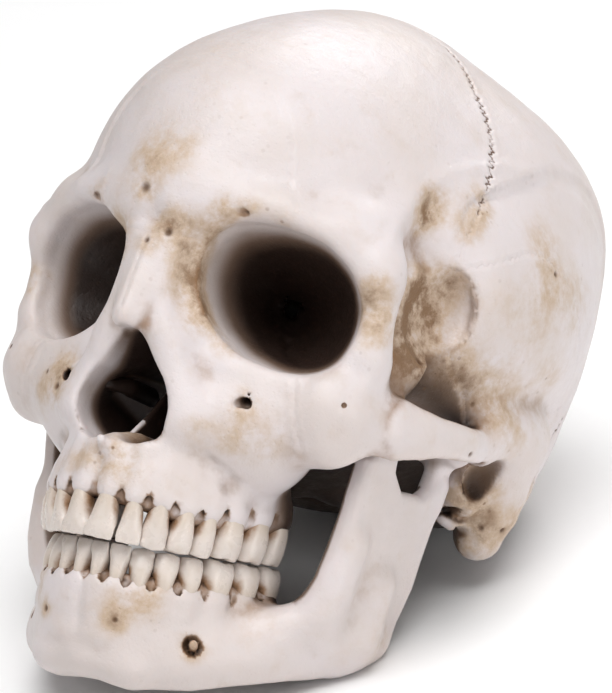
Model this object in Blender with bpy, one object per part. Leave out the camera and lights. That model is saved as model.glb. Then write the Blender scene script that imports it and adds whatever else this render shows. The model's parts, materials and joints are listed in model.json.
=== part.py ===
"""Life-size skull statue: a hollow cast skull with separate teeth and a jaw on two steel dowels.

The skull is modelled upright, with x to its left, y to the back and z up from the ear line, under
one empty. That empty leans it back until the jaw angles and the back of the head touch the table.
The jaw and its teeth hang from a second empty, which sits on the hinge axis.
"""

import math

import bmesh
import bpy
import numpy as np
from mathutils import Matrix, Vector

# Driving sizes of the whole skull, in metres
skull_length = 0.182
skull_breadth = 0.142
vault_height = 0.112  # from the ear line to the crown

# Cast walls, cuts and clearances
shell_wall = 0.005
clearance = 0.0003  # between a piece and its seat
overrun = 0.004  # how far a cutter passes a face
floor_flat = 0.0005  # depth of the flats that the skull rests on

# Tooth rows: the outer curve of each row, and the teeth on it
upper_row_half_width = 0.0315
upper_row_depth = 0.0495
lower_row_half_width = 0.030
lower_row_depth = 0.0466
tooth_width = 0.0082  # of an upper central incisor
tooth_depth = 0.0085  # front to back, of a canine
upper_crown_height = 0.0125
lower_crown_height = 0.0105
root_length = 0.0075
tooth_gap = 0.0007
bite_gap = 0.0007

# Jaw hinge
dowel_radius = 0.00125
dowel_length = 0.018
condyle_half_width = 0.0085
condyle_radius = 0.0048
socket_gap = 0.0022  # between the condyle and its hollow

# Plates inside the nose
septum_thickness = 0.0016

# Mesh grain: voxels of the blended forms, and faces kept afterwards
vault_voxel = 0.0036
mass_voxel = 0.0024
strut_voxel = 0.0017
vault_passes = 40
mass_passes = 14
strut_passes = 5
cranium_faces = 6000
cavity_faces = 800
orbit_faces = 500
nose_faces = 500
mandible_faces = 2300
dowel_sides = 16
strut_fill = 0.001  # added round every strut for what smoothing takes away
vault_fill = 0.0008

half_length = skull_length / 2
half_breadth = skull_breadth / 2
SCALES = Vector((half_breadth, half_length, vault_height))
WALLS = Vector((shell_wall, shell_wall, shell_wall))
ROW_SIZES = {
    "upper": (upper_row_half_width, upper_row_depth),
    "lower": (lower_row_half_width, lower_row_depth),
}
ROW_STEPS = 400  # points that a tooth row's curve is read at
SMOOTHING_SHARE = 0.5  # how far a pass moves a point towards its neighbours
SEAT_CORNER_SHARE = 2.0  # how much further than its faces a plate's seat reaches at the corners
LEAN_LIMIT = math.radians(60)
HALVINGS = 24

# Places and radii are shares of half the breadth, half the length and the vault's height.
# A ball is its centre and its three radii; one off the middle is made on both sides.
VAULT_SHARES = [
    ((0, -0.04, 0.37), (0.8, 0.88, 0.62)),
    ((0, -0.02, 0.31), (1.0, 0.96, 0.49)),
    ((0, -0.3, 0.41), (0.77, 0.76, 0.49)),
    ((0, 0.08, 0.37), (0.95, 0.75, 0.59)),
    ((0.3, 0.21, 0.45), (0.62, 0.61, 0.43)),
    ((0, 0.42, 0.24), (0.81, 0.48, 0.48)),
    ((0.28, 0.36, 0.06), (0.51, 0.41, 0.3)),
    ((0.07, 0.46, 0.45), (0.6, 0.39, 0.3)),
]
FACE_BALL_SHARES = [
    ((0, -0.703, 0.018), (0.38, 0.319, 0.304)),
    ((0.31, -0.703, -0.125), (0.282, 0.22, 0.196)),
    ((0, -0.308, 0.018), (0.479, 0.286, 0.179)),
    ((0.648, -0.022, 0.036), (0.197, 0.242, 0.125)),
    ((0.62, 0.3, -0.107), (0.17, 0.165, 0.107)),
    ((0, -0.967, 0.366), (0.225, 0.121, 0.089)),
    ((0.437, -0.824, -0.054), (0.225, 0.099, 0.116)),
    ((0.155, -0.89, -0.25), (0.24, 0.099, 0.116)),
    ((0.3, -0.78, -0.23), (0.18, 0.2, 0.1)),
]
DETAIL_BALL_SHARES = [
    ((0, 0.813, -0.036), (0.127, 0.099, 0.062)),
    ((0.197, 0.022, -0.205), (0.085, 0.11, 0.045)),
    ((0.655, -0.626, 0.134), (0.113, 0.176, 0.188)),
]

# A strut is a row of beads: a place, then the radius as a share of half the length.
BROW_SHARES = [
    (0.085, -1.0, 0.304, 0.066),
    (0.254, -0.973, 0.339, 0.06),
    (0.437, -0.918, 0.339, 0.05),
    (0.592, -0.835, 0.308, 0.047),
    (0.725, -0.742, 0.241, 0.05),
]
CHEEK_SHARES = [
    [(0.746, -0.731, 0.277, 0.058), (0.754, -0.709, 0.17, 0.054), (0.732, -0.703, 0.062, 0.068)],
    [(0.704, -0.703, 0.027, 0.079), (0.676, -0.725, -0.08, 0.095), (0.662, -0.714, -0.152, 0.079)],
    [(0.535, -0.769, -0.054, 0.074), (0.662, -0.736, -0.08, 0.079)],
    [(0.197, -0.923, -0.179, 0.088), (0.366, -0.813, -0.143, 0.099), (0.563, -0.725, -0.107, 0.088)],
    [(0.282, -0.89, -0.027, 0.046), (0.423, -0.83, -0.045, 0.057), (0.563, -0.769, -0.045, 0.057)],
]
ARCH_FLAT_SHARE = 0.75  # the cheek arch is thinner across than it is high
ARCH_SHARES = [
    (0.732, -0.67, -0.071, 0.09),
    (0.831, -0.56, -0.071, 0.064),
    (0.894, -0.418, -0.066, 0.056),
    (0.908, -0.264, -0.068, 0.052),
    (0.88, -0.115, -0.072, 0.058),
    (0.803, -0.022, -0.036, 0.064),
]
NOSE_SHARES = [
    [(0, -1.011, 0.214, 0.057), (0, -1.066, 0.107, 0.047), (0, -1.099, 0.045, 0.037)],
    [
        (0.07, -0.995, 0.223, 0.058),
        (0.113, -0.995, 0.089, 0.054),
        (0.19, -0.967, -0.054, 0.052),
        (0.239, -0.945, -0.17, 0.058),
    ],
    [(0, -1.011, -0.277, 0.037), (0, -1.066, -0.259, 0.02)],
]
PALATE_SHARES = [(0, -0.901, -0.268, 0.055), (0.169, -0.813, -0.268, 0.066), (0.169, -0.615, -0.268, 0.055)]
BASE_SHARES = [(0, -0.396, -0.071, 0.11), (0, -0.11, -0.17, 0.088)]
PTERYGOID_SHARES = [(0.197, -0.462, -0.107, 0.055), (0.211, -0.44, -0.268, 0.04)]
MASTOID_SHARES = [(0.761, 0.154, -0.036, 0.132), (0.739, 0.187, -0.179, 0.099), (0.718, 0.198, -0.25, 0.08)]
EAR_RIDGE_SHARES = [(0.845, -0.044, -0.009, 0.055), (0.845, 0.1, 0, 0.071), (0.803, 0.22, 0.018, 0.077)]

# Openings cut into the skull
CAVITY_SHARES = [
    ((0, 0.07, 0.445), (0.775, 0.7, 0.535)),
    ((0, 0.11, 0.357), (0.96, 0.76, 0.402)),
    ((0, -0.46, 0.53), (0.63, 0.54, 0.33)),
    ((0.3, 0.19, 0.43), (0.6, 0.57, 0.41)),
    ((0, 0.4, 0.23), (0.76, 0.46, 0.42)),
]
ORBIT_SHARES = [
    (0.486, -1.11, 0.143, 0.203),
    (0.43, -0.879, 0.152, 0.192),
    (0.324, -0.681, 0.161, 0.132),
    (0.254, -0.571, 0.17, 0.06),
]
NOSTRIL_SHARES = [
    [(0.085, -1.25, -0.2, 0.088), (0.085, -0.769, -0.17, 0.091)],
    [(0, -1.25, -0.071, 0.082), (0, -0.769, -0.036, 0.088)],
    [(0, -1.25, 0, 0.04), (0, -0.813, 0.018, 0.044)],
    [(0.085, -0.835, -0.143, 0.088), (0.085, -0.33, -0.161, 0.095)],
]
EAR_SHARES = [(1.1, 0.022, -0.027, 0.044), (0.66, 0.022, -0.027, 0.044)]
FORAMEN_SHARES = [(0, 0.132, -0.45, 0.165), (0, 0.132, 0.09, 0.165)]
CHEEK_HOLLOW_SHARES = ((0.69, -0.484, -0.125), (0.127, 0.165, 0.179))

# Inside the nose: the septum's side outline and the ball of a concha
SEPTUM_OUTLINE_SHARES = [
    (-0.98, -0.26),
    (-1.02, -0.1),
    (-1.05, 0.03),
    (-0.82, 0.09),
    (-0.68, -0.02),
    (-0.68, -0.24),
    (-0.8, -0.28),
]
CONCHA_SHARES = ((0.19, -0.79, -0.12), (0.06, 0.14, 0.03))

# Jaw: its base line, the bone under the teeth, the web between them and the two branches
JAW_BASE_SHARES = [
    (0, -0.846, -0.723, 0.09),
    (0.155, -0.835, -0.732, 0.09),
    (0.31, -0.758, -0.719, 0.079),
    (0.465, -0.571, -0.674, 0.072),
    (0.577, -0.363, -0.629, 0.068),
    (0.634, -0.22, -0.571, 0.057),
]
JAW_WEB_SHARES = [
    (0, -0.868, -0.67, 0.079),
    (0.183, -0.846, -0.679, 0.079),
    (0.324, -0.725, -0.661, 0.073),
    (0.465, -0.527, -0.616, 0.073),
    (0.577, -0.374, -0.58, 0.068),
]
CHIN_SHARES = [((0, -0.912, -0.741), (0.141, 0.066, 0.054)), ((0.155, -0.89, -0.759), (0.085, 0.055, 0.036))]
RAMUS_OUTLINE_SHARES = [
    (-0.473, -0.536),
    (-0.495, -0.411),
    (-0.462, -0.286),
    (-0.462, -0.161),
    (-0.418, -0.089),
    (-0.363, -0.125),
    (-0.297, -0.196),
    (-0.198, -0.188),
    (-0.143, -0.134),
    (-0.077, -0.161),
    (-0.088, -0.268),
    (-0.099, -0.429),
    (-0.132, -0.536),
    (-0.209, -0.6),
    (-0.33, -0.64),
    (-0.44, -0.625),
]
RAMUS_FOOT_SHARE = 0.739  # where the branch's middle plane crosses the ear line
ramus_slope = 0.115  # how far the branch leans out as it rises
ramus_half_thickness = 0.0034
CONDYLE_SHARES = (0.704, -0.115, -0.076)
NECK_SHARES = [(0.69, -0.132, -0.196, 0.046), (0.704, -0.121, -0.107, 0.05)]

# Bone round the roots: the radius of its beads, and their distance from the gum in root lengths
UPPER_BONE_SHARES = [(0.062, 0.72), (0.072, 1.5)]
LOWER_BONE_SHARES = [(0.06, 0.72), (0.064, 1.2)]

# Tooth rows: the back end of each row's curve, the gum line, and each tooth from the middle out
ROW_BACK_SHARES = {"upper": -0.527, "lower": -0.505}
ROW_SQUARENESS = 2.25
GUM_SHARES = {
    "upper": (-0.37, -0.37, -0.372, -0.366, -0.362, -0.357, -0.352, -0.348),
    "lower": (-0.582, -0.582, -0.586, -0.582, -0.578, -0.57, -0.56, -0.548),
}
WIDTH_SHARES = {
    "upper": (1.0, 0.78, 0.87, 0.8, 0.77, 1.16, 1.13, 0.99),
    "lower": (0.6, 0.67, 0.77, 0.82, 0.83, 1.27, 1.21, 1.15),
}
DEPTH_SHARES = (0.82, 0.76, 0.96, 1.06, 1.08, 1.28, 1.28, 1.16)
CROWN_SHARES = {
    "upper": (1.0, 0.97, 1.0, 0.92, 0.86, 0.8, 0.74, 0.68),
    "lower": (1.0, 1.0, 1.03, 0.98, 0.95, 0.9, 0.86, 0.82),
}
KINDS = (
    "central_incisor",
    "lateral_incisor",
    "canine",
    "first_premolar",
    "second_premolar",
    "first_molar",
    "second_molar",
    "third_molar",
)
BITE_SHARES = (0, 0, 0, 0.002, 0.006, 0.014, 0.022, 0.03)  # how the biting line rises to the back
# Height from the root's tip (-1) over the neck (0) to the biting edge (1), width and depth
FRONT_RINGS_SHARES = [
    (-1.0, 0.34, 0.4),
    (-0.5, 0.56, 0.66),
    (0, 0.74, 0.86),
    (0.35, 0.92, 0.94),
    (0.8, 1.0, 0.56),
    (1.0, 0.84, 0.26),
]
BACK_RINGS_SHARES = [
    (-1.0, 0.4, 0.42),
    (-0.5, 0.62, 0.66),
    (0, 0.8, 0.82),
    (0.4, 0.97, 0.98),
    (0.82, 1.0, 0.9),
    (1.0, 0.74, 0.6),
]
ring_points = 8
LINGUAL_TAPER_SHARE = 0.26  # how much narrower a tooth is at its back
tooth_squareness = 2.6


def clear_scene():
    for obj in list(bpy.data.objects):
        bpy.data.objects.remove(obj, do_unlink=True)


def material(name, colour, roughness, metallic=0.0):
    made = bpy.data.materials.new(name)
    made.use_nodes = True
    shader = made.node_tree.nodes["Principled BSDF"]
    shader.inputs["Base Color"].default_value = (*colour, 1.0)
    shader.inputs["Roughness"].default_value = roughness
    shader.inputs["Metallic"].default_value = metallic
    return made


def scaled(shares):
    return Vector(share * size for share, size in zip(shares, SCALES))


def sides_of(place):
    """A place off the middle counts twice, once on each side."""
    return (1, -1) if abs(place[0]) > 0 else (1,)


def add_ball(form, centre, radii, side=1, facets=4):
    at = Matrix.Translation((centre[0] * side, centre[1], centre[2]))
    size = Matrix.Diagonal((*radii, 1.0))
    bmesh.ops.create_icosphere(form, subdivisions=facets, radius=1.0, matrix=at @ size)


def add_balls(form, rows, less=0.0):
    """Balls from a table, each radius less a wall, on both sides where they are off the middle."""
    for centre_shares, radius_shares in rows:
        centre = scaled(centre_shares)
        radii = [radius - less for radius in scaled(radius_shares)]
        for side in sides_of(centre):
            add_ball(form, centre, radii, side)


def add_beads(form, beads, flat=1.0, more=strut_fill):
    """A strut: balls set close along a line of (place, radius), thinner across by the flat share."""
    for (start, first), (end, last) in zip(beads, beads[1:]):
        count = max(2, math.ceil((end - start).length / (min(first, last) / 2)))
        for step in range(count + 1):
            share = step / count
            centre = start.lerp(end, share)
            radius = first + (last - first) * share + more
            for side in sides_of(centre):
                add_ball(form, centre, (radius * flat, radius, radius), side, facets=2)


def strut(rows):
    """A table row set of (x, y, z, radius) shares as places and radii."""
    return [(scaled(row[:3]), row[3] * half_length) for row in rows]


def new_object(name, form, finish=None):
    mesh = bpy.data.meshes.new(name)
    form.to_mesh(mesh)
    form.free()
    obj = bpy.data.objects.new(name, mesh)
    bpy.context.scene.collection.objects.link(obj)
    if finish:
        mesh.materials.append(finish)
    return obj


def blended(name, form, voxel, passes, faces=0):
    """One skin round all the shapes of a form, with their joins smoothed, as a new plain mesh."""
    obj = new_object(name, form)
    remesh = obj.modifiers.new("Skin", "REMESH")
    remesh.mode = "VOXEL"
    remesh.voxel_size = voxel
    smooth = obj.modifiers.new("Smooth", "SMOOTH")
    smooth.factor = SMOOTHING_SHARE
    smooth.iterations = passes
    mesh = evaluated_mesh(obj)
    if faces:
        obj.modifiers.clear()
        obj.data = mesh
        thin = obj.modifiers.new("Thin out", "DECIMATE")
        thin.ratio = min(1.0, faces / (2 * len(mesh.polygons)))
        mesh = evaluated_mesh(obj)
    bpy.data.objects.remove(obj, do_unlink=True)
    mesh.name = name
    return mesh


def evaluated_mesh(obj):
    bpy.context.view_layer.update()
    graph = bpy.context.evaluated_depsgraph_get()
    return bpy.data.meshes.new_from_object(obj.evaluated_get(graph))


def cutter(name, mesh, parent=None):
    obj = bpy.data.objects.new(name, mesh)
    bpy.context.scene.collection.objects.link(obj)
    obj.parent = parent
    obj.hide_render = True
    obj.display_type = "WIRE"
    return obj


def cut(obj, tool):
    boolean = obj.modifiers.new(tool.name, "BOOLEAN")
    boolean.operation = "DIFFERENCE"
    boolean.object = tool


def node(name, mesh, finish, parent):
    obj = bpy.data.objects.new(name, mesh)
    bpy.context.scene.collection.objects.link(obj)
    obj.parent = parent
    mesh.materials.clear()
    mesh.materials.append(finish)
    mesh.shade_smooth()
    return obj


def row_curve(row):
    """The outer curve of a tooth row, from the middle round and straight on back, and its run."""
    half_width, depth = ROW_SIZES[row]
    back = ROW_BACK_SHARES[row] * half_length
    angles = np.linspace(0, math.pi / 2, ROW_STEPS)
    power = 2 / ROW_SQUARENESS
    x = np.append(half_width * np.sin(angles) ** power, half_width)
    y = np.append(back - depth * np.maximum(np.cos(angles), 0) ** power, back + depth)
    run = np.concatenate([[0], np.cumsum(np.hypot(np.diff(x), np.diff(y)))])
    return x, y, run


def row_place(row, along, inward=0.0):
    """A point on a row's curve, moved inward, and the direction of the row there."""
    x, y, run = row_curve(row)
    at = Vector((np.interp(along, run, x), np.interp(along, run, y), 0))
    step = tooth_gap
    ahead = Vector((np.interp(along + step, run, x), np.interp(along + step, run, y), 0))
    behind = Vector((np.interp(along - step, run, x), np.interp(along - step, run, y), 0))
    run_way = (ahead - behind).normalized()
    inward_way = Vector((-run_way.y, run_way.x, 0))
    return at + inward_way * inward, run_way


def tooth_rows(row):
    """Each tooth of the left half of a row: its number, place along the row, width and depth."""
    along = tooth_gap / 2
    teeth = []
    for number, (width_share, depth_share) in enumerate(zip(WIDTH_SHARES[row], DEPTH_SHARES)):
        width = width_share * tooth_width
        teeth.append((number, along + width / 2, width, depth_share * tooth_depth))
        along += width + tooth_gap
    return teeth


def bone_beads(row, radius_share, depth_from_gum):
    """Beads of the bone that holds a tooth row, following the row's own curve."""
    beads = []
    radius = radius_share * half_length
    way = 1 if row == "upper" else -1
    for number, along, _width, depth in tooth_rows(row):
        place, _way = row_place(row, along, depth / 2)
        place.z = GUM_SHARES[row][number] * vault_height + way * depth_from_gum
        beads.append((place, radius))
    first = beads[0][0].copy()
    first.x = 0
    return [(first, radius)] + beads


def tooth_mesh(name, row, number, width, depth, more=0.0):
    """A tooth standing on its neck at the origin, root up, biting edge down for the upper row."""
    crown = CROWN_SHARES[row][number] * (upper_crown_height if row == "upper" else lower_crown_height)
    rings = FRONT_RINGS_SHARES if number < 3 else BACK_RINGS_SHARES
    power = 2 / tooth_squareness
    way = -1 if row == "upper" else 1
    form = bmesh.new()
    loops = []
    for height_share, width_share, depth_share in rings:
        height = height_share * (crown if height_share > 0 else root_length)
        if height_share in (-1.0, 1.0):
            height += math.copysign(more, height_share)
        loop = []
        for point in range(ring_points):
            angle = 2 * math.pi * (point + 0.5) / ring_points
            across = math.copysign(abs(math.cos(angle)) ** power, math.cos(angle))
            through = math.copysign(abs(math.sin(angle)) ** power, math.sin(angle))
            narrowing = 1 - LINGUAL_TAPER_SHARE * (through + 1) / 2
            x = across * (width_share * width * narrowing / 2 + more)
            y = through * (depth_share * depth / 2 + more)
            loop.append(form.verts.new((x, y, way * height)))
        loops.append(loop)
    for lower, upper in zip(loops, loops[1:]):
        for point in range(ring_points):
            after = (point + 1) % ring_points
            form.faces.new((lower[point], lower[after], upper[after], upper[point]))
    form.faces.new(loops[0])
    form.faces.new(loops[-1])
    bmesh.ops.recalc_face_normals(form, faces=form.faces)
    mesh = bpy.data.meshes.new(name)
    form.to_mesh(mesh)
    form.free()
    return mesh


def bite_height(number):
    """Where the upper teeth end."""
    upper = GUM_SHARES["upper"][0] * vault_height - upper_crown_height
    return upper + BITE_SHARES[number] * vault_height


def make_teeth(row, parent, offset, finish, holder):
    """Sixteen separate teeth of a row, and the sockets that they sit in, cut from their holder."""
    sockets = bmesh.new()
    for number, along, width, depth in tooth_rows(row):
        place, run_way = row_place(row, along, depth / 2)
        place.z = neck_height(row, number)
        for side, side_name in ((1, "left"), (-1, "right")):
            turn = math.atan2(run_way.y * side, run_way.x)
            at = Vector((place.x * side, place.y, place.z)) - offset
            name = f"{row}_{side_name}_{KINDS[number]}"
            mesh = tooth_mesh(name, row, number, width, depth)
            obj = node(name, mesh, finish, parent)
            obj.location = at
            obj.rotation_euler = (0, 0, turn)
            seat = tooth_mesh(name, row, number, width, depth, clearance)
            seat.transform(Matrix.Translation(at) @ Matrix.Rotation(turn, 4, "Z"))
            sockets.from_mesh(seat)
            bpy.data.meshes.remove(seat)
    mesh = bpy.data.meshes.new(f"{row}_sockets")
    sockets.to_mesh(mesh)
    sockets.free()
    cut(holder, cutter(f"{row}_sockets", mesh, parent))


def neck_height(row, number):
    """The neck lies one crown away from the biting line, which both rows share less a gap."""
    if row == "upper":
        return bite_height(number) + CROWN_SHARES[row][number] * upper_crown_height
    return bite_height(number) - bite_gap - CROWN_SHARES[row][number] * lower_crown_height


def cranium_mesh():
    vault = bmesh.new()
    add_balls(vault, VAULT_SHARES, less=-vault_fill)
    masses = bmesh.new()
    masses.from_mesh(blended("vault", vault, vault_voxel, vault_passes))
    add_balls(masses, FACE_BALL_SHARES, less=-vault_fill)
    add_beads(masses, strut(BASE_SHARES))
    whole = bmesh.new()
    whole.from_mesh(blended("masses", masses, mass_voxel, mass_passes))
    add_balls(whole, DETAIL_BALL_SHARES)
    for beads in [BROW_SHARES, *CHEEK_SHARES, *NOSE_SHARES, PALATE_SHARES, PTERYGOID_SHARES]:
        add_beads(whole, strut(beads))
    for beads in (MASTOID_SHARES, EAR_RIDGE_SHARES):
        add_beads(whole, strut(beads))
    add_beads(whole, strut(ARCH_SHARES), flat=ARCH_FLAT_SHARE)
    for radius_share, depth in UPPER_BONE_SHARES:
        add_beads(whole, bone_beads("upper", radius_share, depth * root_length), more=0.0)
    return blended("cranium", whole, strut_voxel, strut_passes, cranium_faces)


def ramus_shapes(form):
    """Both branches of the jaw: a plate in the side outline, leaning out as it rises, and the condyle."""
    for side in (1, -1):
        loops = []
        for face in (-1, 1):
            loop = []
            for y_share, z_share in RAMUS_OUTLINE_SHARES:
                z = z_share * vault_height
                x = RAMUS_FOOT_SHARE * half_breadth + ramus_slope * z + face * ramus_half_thickness
                loop.append(form.verts.new((x * side, y_share * half_length, z)))
            loops.append(loop)
        inner, outer = loops
        count = len(inner)
        made = [form.faces.new(inner), form.faces.new(outer)]
        for index in range(count):
            after = (index + 1) % count
            made.append(form.faces.new((inner[index], inner[after], outer[after], outer[index])))
        bmesh.ops.recalc_face_normals(form, faces=made)
        radii = (condyle_half_width, condyle_radius, condyle_radius)
        add_ball(form, scaled(CONDYLE_SHARES), radii, side, facets=3)
    add_beads(form, strut(NECK_SHARES))


def mandible_mesh(hinge):
    form = bmesh.new()
    ramus_shapes(form)
    add_beads(form, strut(JAW_BASE_SHARES))
    add_beads(form, strut(JAW_WEB_SHARES))
    add_balls(form, CHIN_SHARES)
    for radius_share, depth in LOWER_BONE_SHARES:
        add_beads(form, bone_beads("lower", radius_share, depth * root_length), more=0.0)
    mesh = blended("mandible", form, strut_voxel, strut_passes, mandible_faces)
    mesh.transform(Matrix.Translation(-hinge))
    return mesh


def hollow(name, balls, struts, voxel, passes, faces):
    """A cutter: balls and struts under one skin."""
    form = bmesh.new()
    for centre, radii in balls:
        for side in sides_of(centre):
            add_ball(form, centre, radii, side)
    for beads in struts:
        add_beads(form, beads)
    return blended(name, form, voxel, passes, faces)


def cut_cranium(cranium, lean):
    """Every hollow of the cast: the braincase, the face openings, the ear and the jaw sockets."""
    inside = [(scaled(c), scaled(r) - WALLS) for c, r in CAVITY_SHARES]
    mesh = hollow("braincase", inside, [], vault_voxel, vault_passes, cavity_faces)
    cut(cranium, cutter("braincase", mesh, lean))
    mesh = hollow("orbits", [], [strut(ORBIT_SHARES)], strut_voxel, strut_passes, orbit_faces)
    cut(cranium, cutter("orbits", mesh, lean))
    nose = [strut(beads) for beads in NOSTRIL_SHARES]
    mesh = hollow("nose_hollow", [], nose, strut_voxel, strut_passes, nose_faces)
    cut(cranium, cutter("nose_hollow", mesh, lean))
    room = condyle_radius + socket_gap
    socket = (scaled(CONDYLE_SHARES), (condyle_half_width + socket_gap, room, room))
    cheek = tuple(scaled(shares) for shares in CHEEK_HOLLOW_SHARES)
    small = [socket, cheek]
    holes = [strut(EAR_SHARES), strut(FORAMEN_SHARES)]
    mesh = hollow("base_hollows", small, holes, strut_voxel, strut_passes, nose_faces)
    cut(cranium, cutter("base_hollows", mesh, lean))


def cylinder_mesh(name, start, end, radius):
    """A round bar along x from start to end, which share their height and depth."""
    form = bmesh.new()
    middle = (start + end) / 2
    turn = Matrix.Rotation(math.pi / 2, 4, "Y")
    bmesh.ops.create_cone(
        form,
        cap_ends=True,
        segments=dowel_sides,
        radius1=radius,
        radius2=radius,
        depth=(end - start).length,
        matrix=Matrix.Translation(middle) @ turn,
    )
    mesh = bpy.data.meshes.new(name)
    form.to_mesh(mesh)
    form.free()
    return mesh


def make_dowels(lean, hinge_empty, hinge, finish, cranium, mandible):
    """A dowel in each condyle, whose outer end sits in a blind bore in the root of the cheek arch."""
    centre = scaled(CONDYLE_SHARES)
    for side, side_name in ((1, "left"), (-1, "right")):
        inner = Vector((centre.x - condyle_half_width / 2, centre.y, centre.z))
        outer = inner + Vector((dowel_length, 0, 0))
        ends = [Vector((point.x * side, point.y, point.z)) for point in (inner, outer)]
        name = f"hinge_dowel_{side_name}"
        node(name, cylinder_mesh(name, *ends, dowel_radius), finish, lean)
        past = Vector((clearance * side, 0, 0))
        bore = (ends[0] - past, ends[1] + past)
        mesh = cylinder_mesh(f"arch_bore_{side_name}", *bore, dowel_radius + clearance)
        cut(cranium, cutter(f"arch_bore_{side_name}", mesh, lean))
        way_in = (bore[0] - hinge, bore[1] - hinge)
        mesh = cylinder_mesh(f"condyle_bore_{side_name}", *way_in, dowel_radius + clearance)
        cut(mandible, cutter(f"condyle_bore_{side_name}", mesh, hinge_empty))


def plate_mesh(name, outline, thickness, more=0.0):
    """A flat plate in the middle plane from a side outline, grown all round for its seat."""
    form = bmesh.new()
    middle = sum((Vector(point) for point in outline), Vector((0, 0))) / len(outline)
    loops = []
    for face in (-1, 1):
        loop = []
        for point in outline:
            out = Vector(point) + (Vector(point) - middle).normalized() * more * SEAT_CORNER_SHARE
            loop.append(form.verts.new((face * (thickness / 2 + more), out.x, out.y)))
        loops.append(loop)
    inner, outer = loops
    form.faces.new(inner)
    form.faces.new(outer)
    for index in range(len(inner)):
        after = (index + 1) % len(inner)
        form.faces.new((inner[index], inner[after], outer[after], outer[index]))
    bmesh.ops.recalc_face_normals(form, faces=form.faces)
    mesh = bpy.data.meshes.new(name)
    form.to_mesh(mesh)
    form.free()
    return mesh


def concha_mesh(name, side, more=0.0):
    """A scroll of thin bone on the side wall of the nose, as one tapered ball."""
    form = bmesh.new()
    centre = scaled(CONCHA_SHARES[0])
    radii = [radius + more for radius in scaled(CONCHA_SHARES[1])]
    add_ball(form, centre, radii, side, facets=2)
    mesh = bpy.data.meshes.new(name)
    form.to_mesh(mesh)
    form.free()
    return mesh


def make_nose_plates(lean, finish, cranium):
    """The septum and the two lower conchae, each let into the walls of the nose."""
    outline = [(y * half_length, z * vault_height) for y, z in SEPTUM_OUTLINE_SHARES]
    node("nasal_septum", plate_mesh("nasal_septum", outline, septum_thickness), finish, lean)
    mesh = plate_mesh("septum_seat", outline, septum_thickness, clearance)
    cut(cranium, cutter("septum_seat", mesh, lean))
    for side, side_name in ((1, "left"), (-1, "right")):
        name = f"nasal_concha_{side_name}"
        node(name, concha_mesh(name, side), finish, lean)
        mesh = concha_mesh(f"concha_seat_{side_name}", side, clearance)
        cut(cranium, cutter(f"concha_seat_{side_name}", mesh, lean))


def points_of(obj):
    count = len(obj.data.vertices)
    points = np.empty(count * 3, np.float32)
    obj.data.vertices.foreach_get("co", points)
    shift = obj.matrix_local
    return points.reshape(-1, 3) @ np.array(shift.to_3x3()).T + np.array(shift.translation)


def leaned(points, angle):
    """Points of the upright skull after it leans back, as their depth and height."""
    cos, sin = math.cos(angle), math.sin(angle)
    return cos * points[:, 1] + sin * points[:, 2], cos * points[:, 2] - sin * points[:, 1]


def rest_angle(skull, jaw):
    """The lean at which the jaw angles and the back of the head are level, found by halving."""
    low, high = 0.0, LEAN_LIMIT
    back = skull[skull[:, 1] > 0]
    for _halving in range(HALVINGS):
        angle = (low + high) / 2
        if leaned(back, angle)[1].min() > leaned(jaw, angle)[1].min():
            low = angle
        else:
            high = angle
    return angle


def rest_on_floor(lean, cranium, mandible, hinge):
    """Leans the skull back, centres it over the origin and cuts the three flats it rests on."""
    skull = points_of(cranium)
    jaw = points_of(mandible) + np.array(hinge)
    angle = rest_angle(skull, jaw)
    everything = np.concatenate([skull, jaw])
    depth, height = leaned(everything, angle)
    lean.rotation_euler = (-angle, 0, 0)
    floor = leaned(jaw, angle)[1].min() + floor_flat
    lean.location = (0, -(depth.min() + depth.max()) / 2, -floor)
    bpy.context.view_layer.update()
    form = bmesh.new()
    bmesh.ops.create_cube(form, size=1.0)
    size = Matrix.Diagonal((skull_length * 2, skull_length * 2, overrun, 1.0))
    form.transform(Matrix.Translation((0, 0, -overrun / 2)) @ size)
    mesh = bpy.data.meshes.new("floor_flats")
    form.to_mesh(mesh)
    form.free()
    tool = cutter("floor_flats", mesh)
    cut(cranium, tool)
    cut(mandible, tool)


def main():
    clear_scene()
    bone = material("Aged bone resin", (0.76, 0.69, 0.63), 0.5)
    enamel = material("Tooth resin", (0.78, 0.7, 0.6), 0.35)
    steel = material("Dowel steel", (0.6, 0.6, 0.62), 0.3, 1.0)
    lean = bpy.data.objects.new("lean", None)
    bpy.context.scene.collection.objects.link(lean)
    hinge = scaled((0, *CONDYLE_SHARES[1:]))
    hinge_empty = bpy.data.objects.new("jaw_hinge", None)
    bpy.context.scene.collection.objects.link(hinge_empty)
    hinge_empty.parent = lean
    hinge_empty.location = hinge
    cranium = node("cranium", cranium_mesh(), bone, lean)
    mandible = node("mandible", mandible_mesh(hinge), bone, hinge_empty)
    cut_cranium(cranium, lean)
    make_teeth("upper", lean, Vector((0, 0, 0)), enamel, cranium)
    make_teeth("lower", hinge_empty, hinge, enamel, mandible)
    make_dowels(lean, hinge_empty, hinge, steel, cranium, mandible)
    make_nose_plates(lean, bone, cranium)
    rest_on_floor(lean, cranium, mandible, hinge)


main()
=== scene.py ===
"""Dresses the skull statue: sculpted bone, 32 shaped teeth, aged-bone finishes with painted shade, soft
light and camera.

The bone is modelled as a distance field: rounded shapes joined, cut and blended with each other, then
turned into a mesh and given its fine relief. It is built upright in millimetres, with x to the
skull's left, y to the back and z up from the ear line, and is then leaned back onto the CAD's hinge.
"""

import json
import math

import bmesh
import bpy
import numpy as np
from mathutils import Matrix, Vector
from mathutils.kdtree import KDTree


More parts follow.
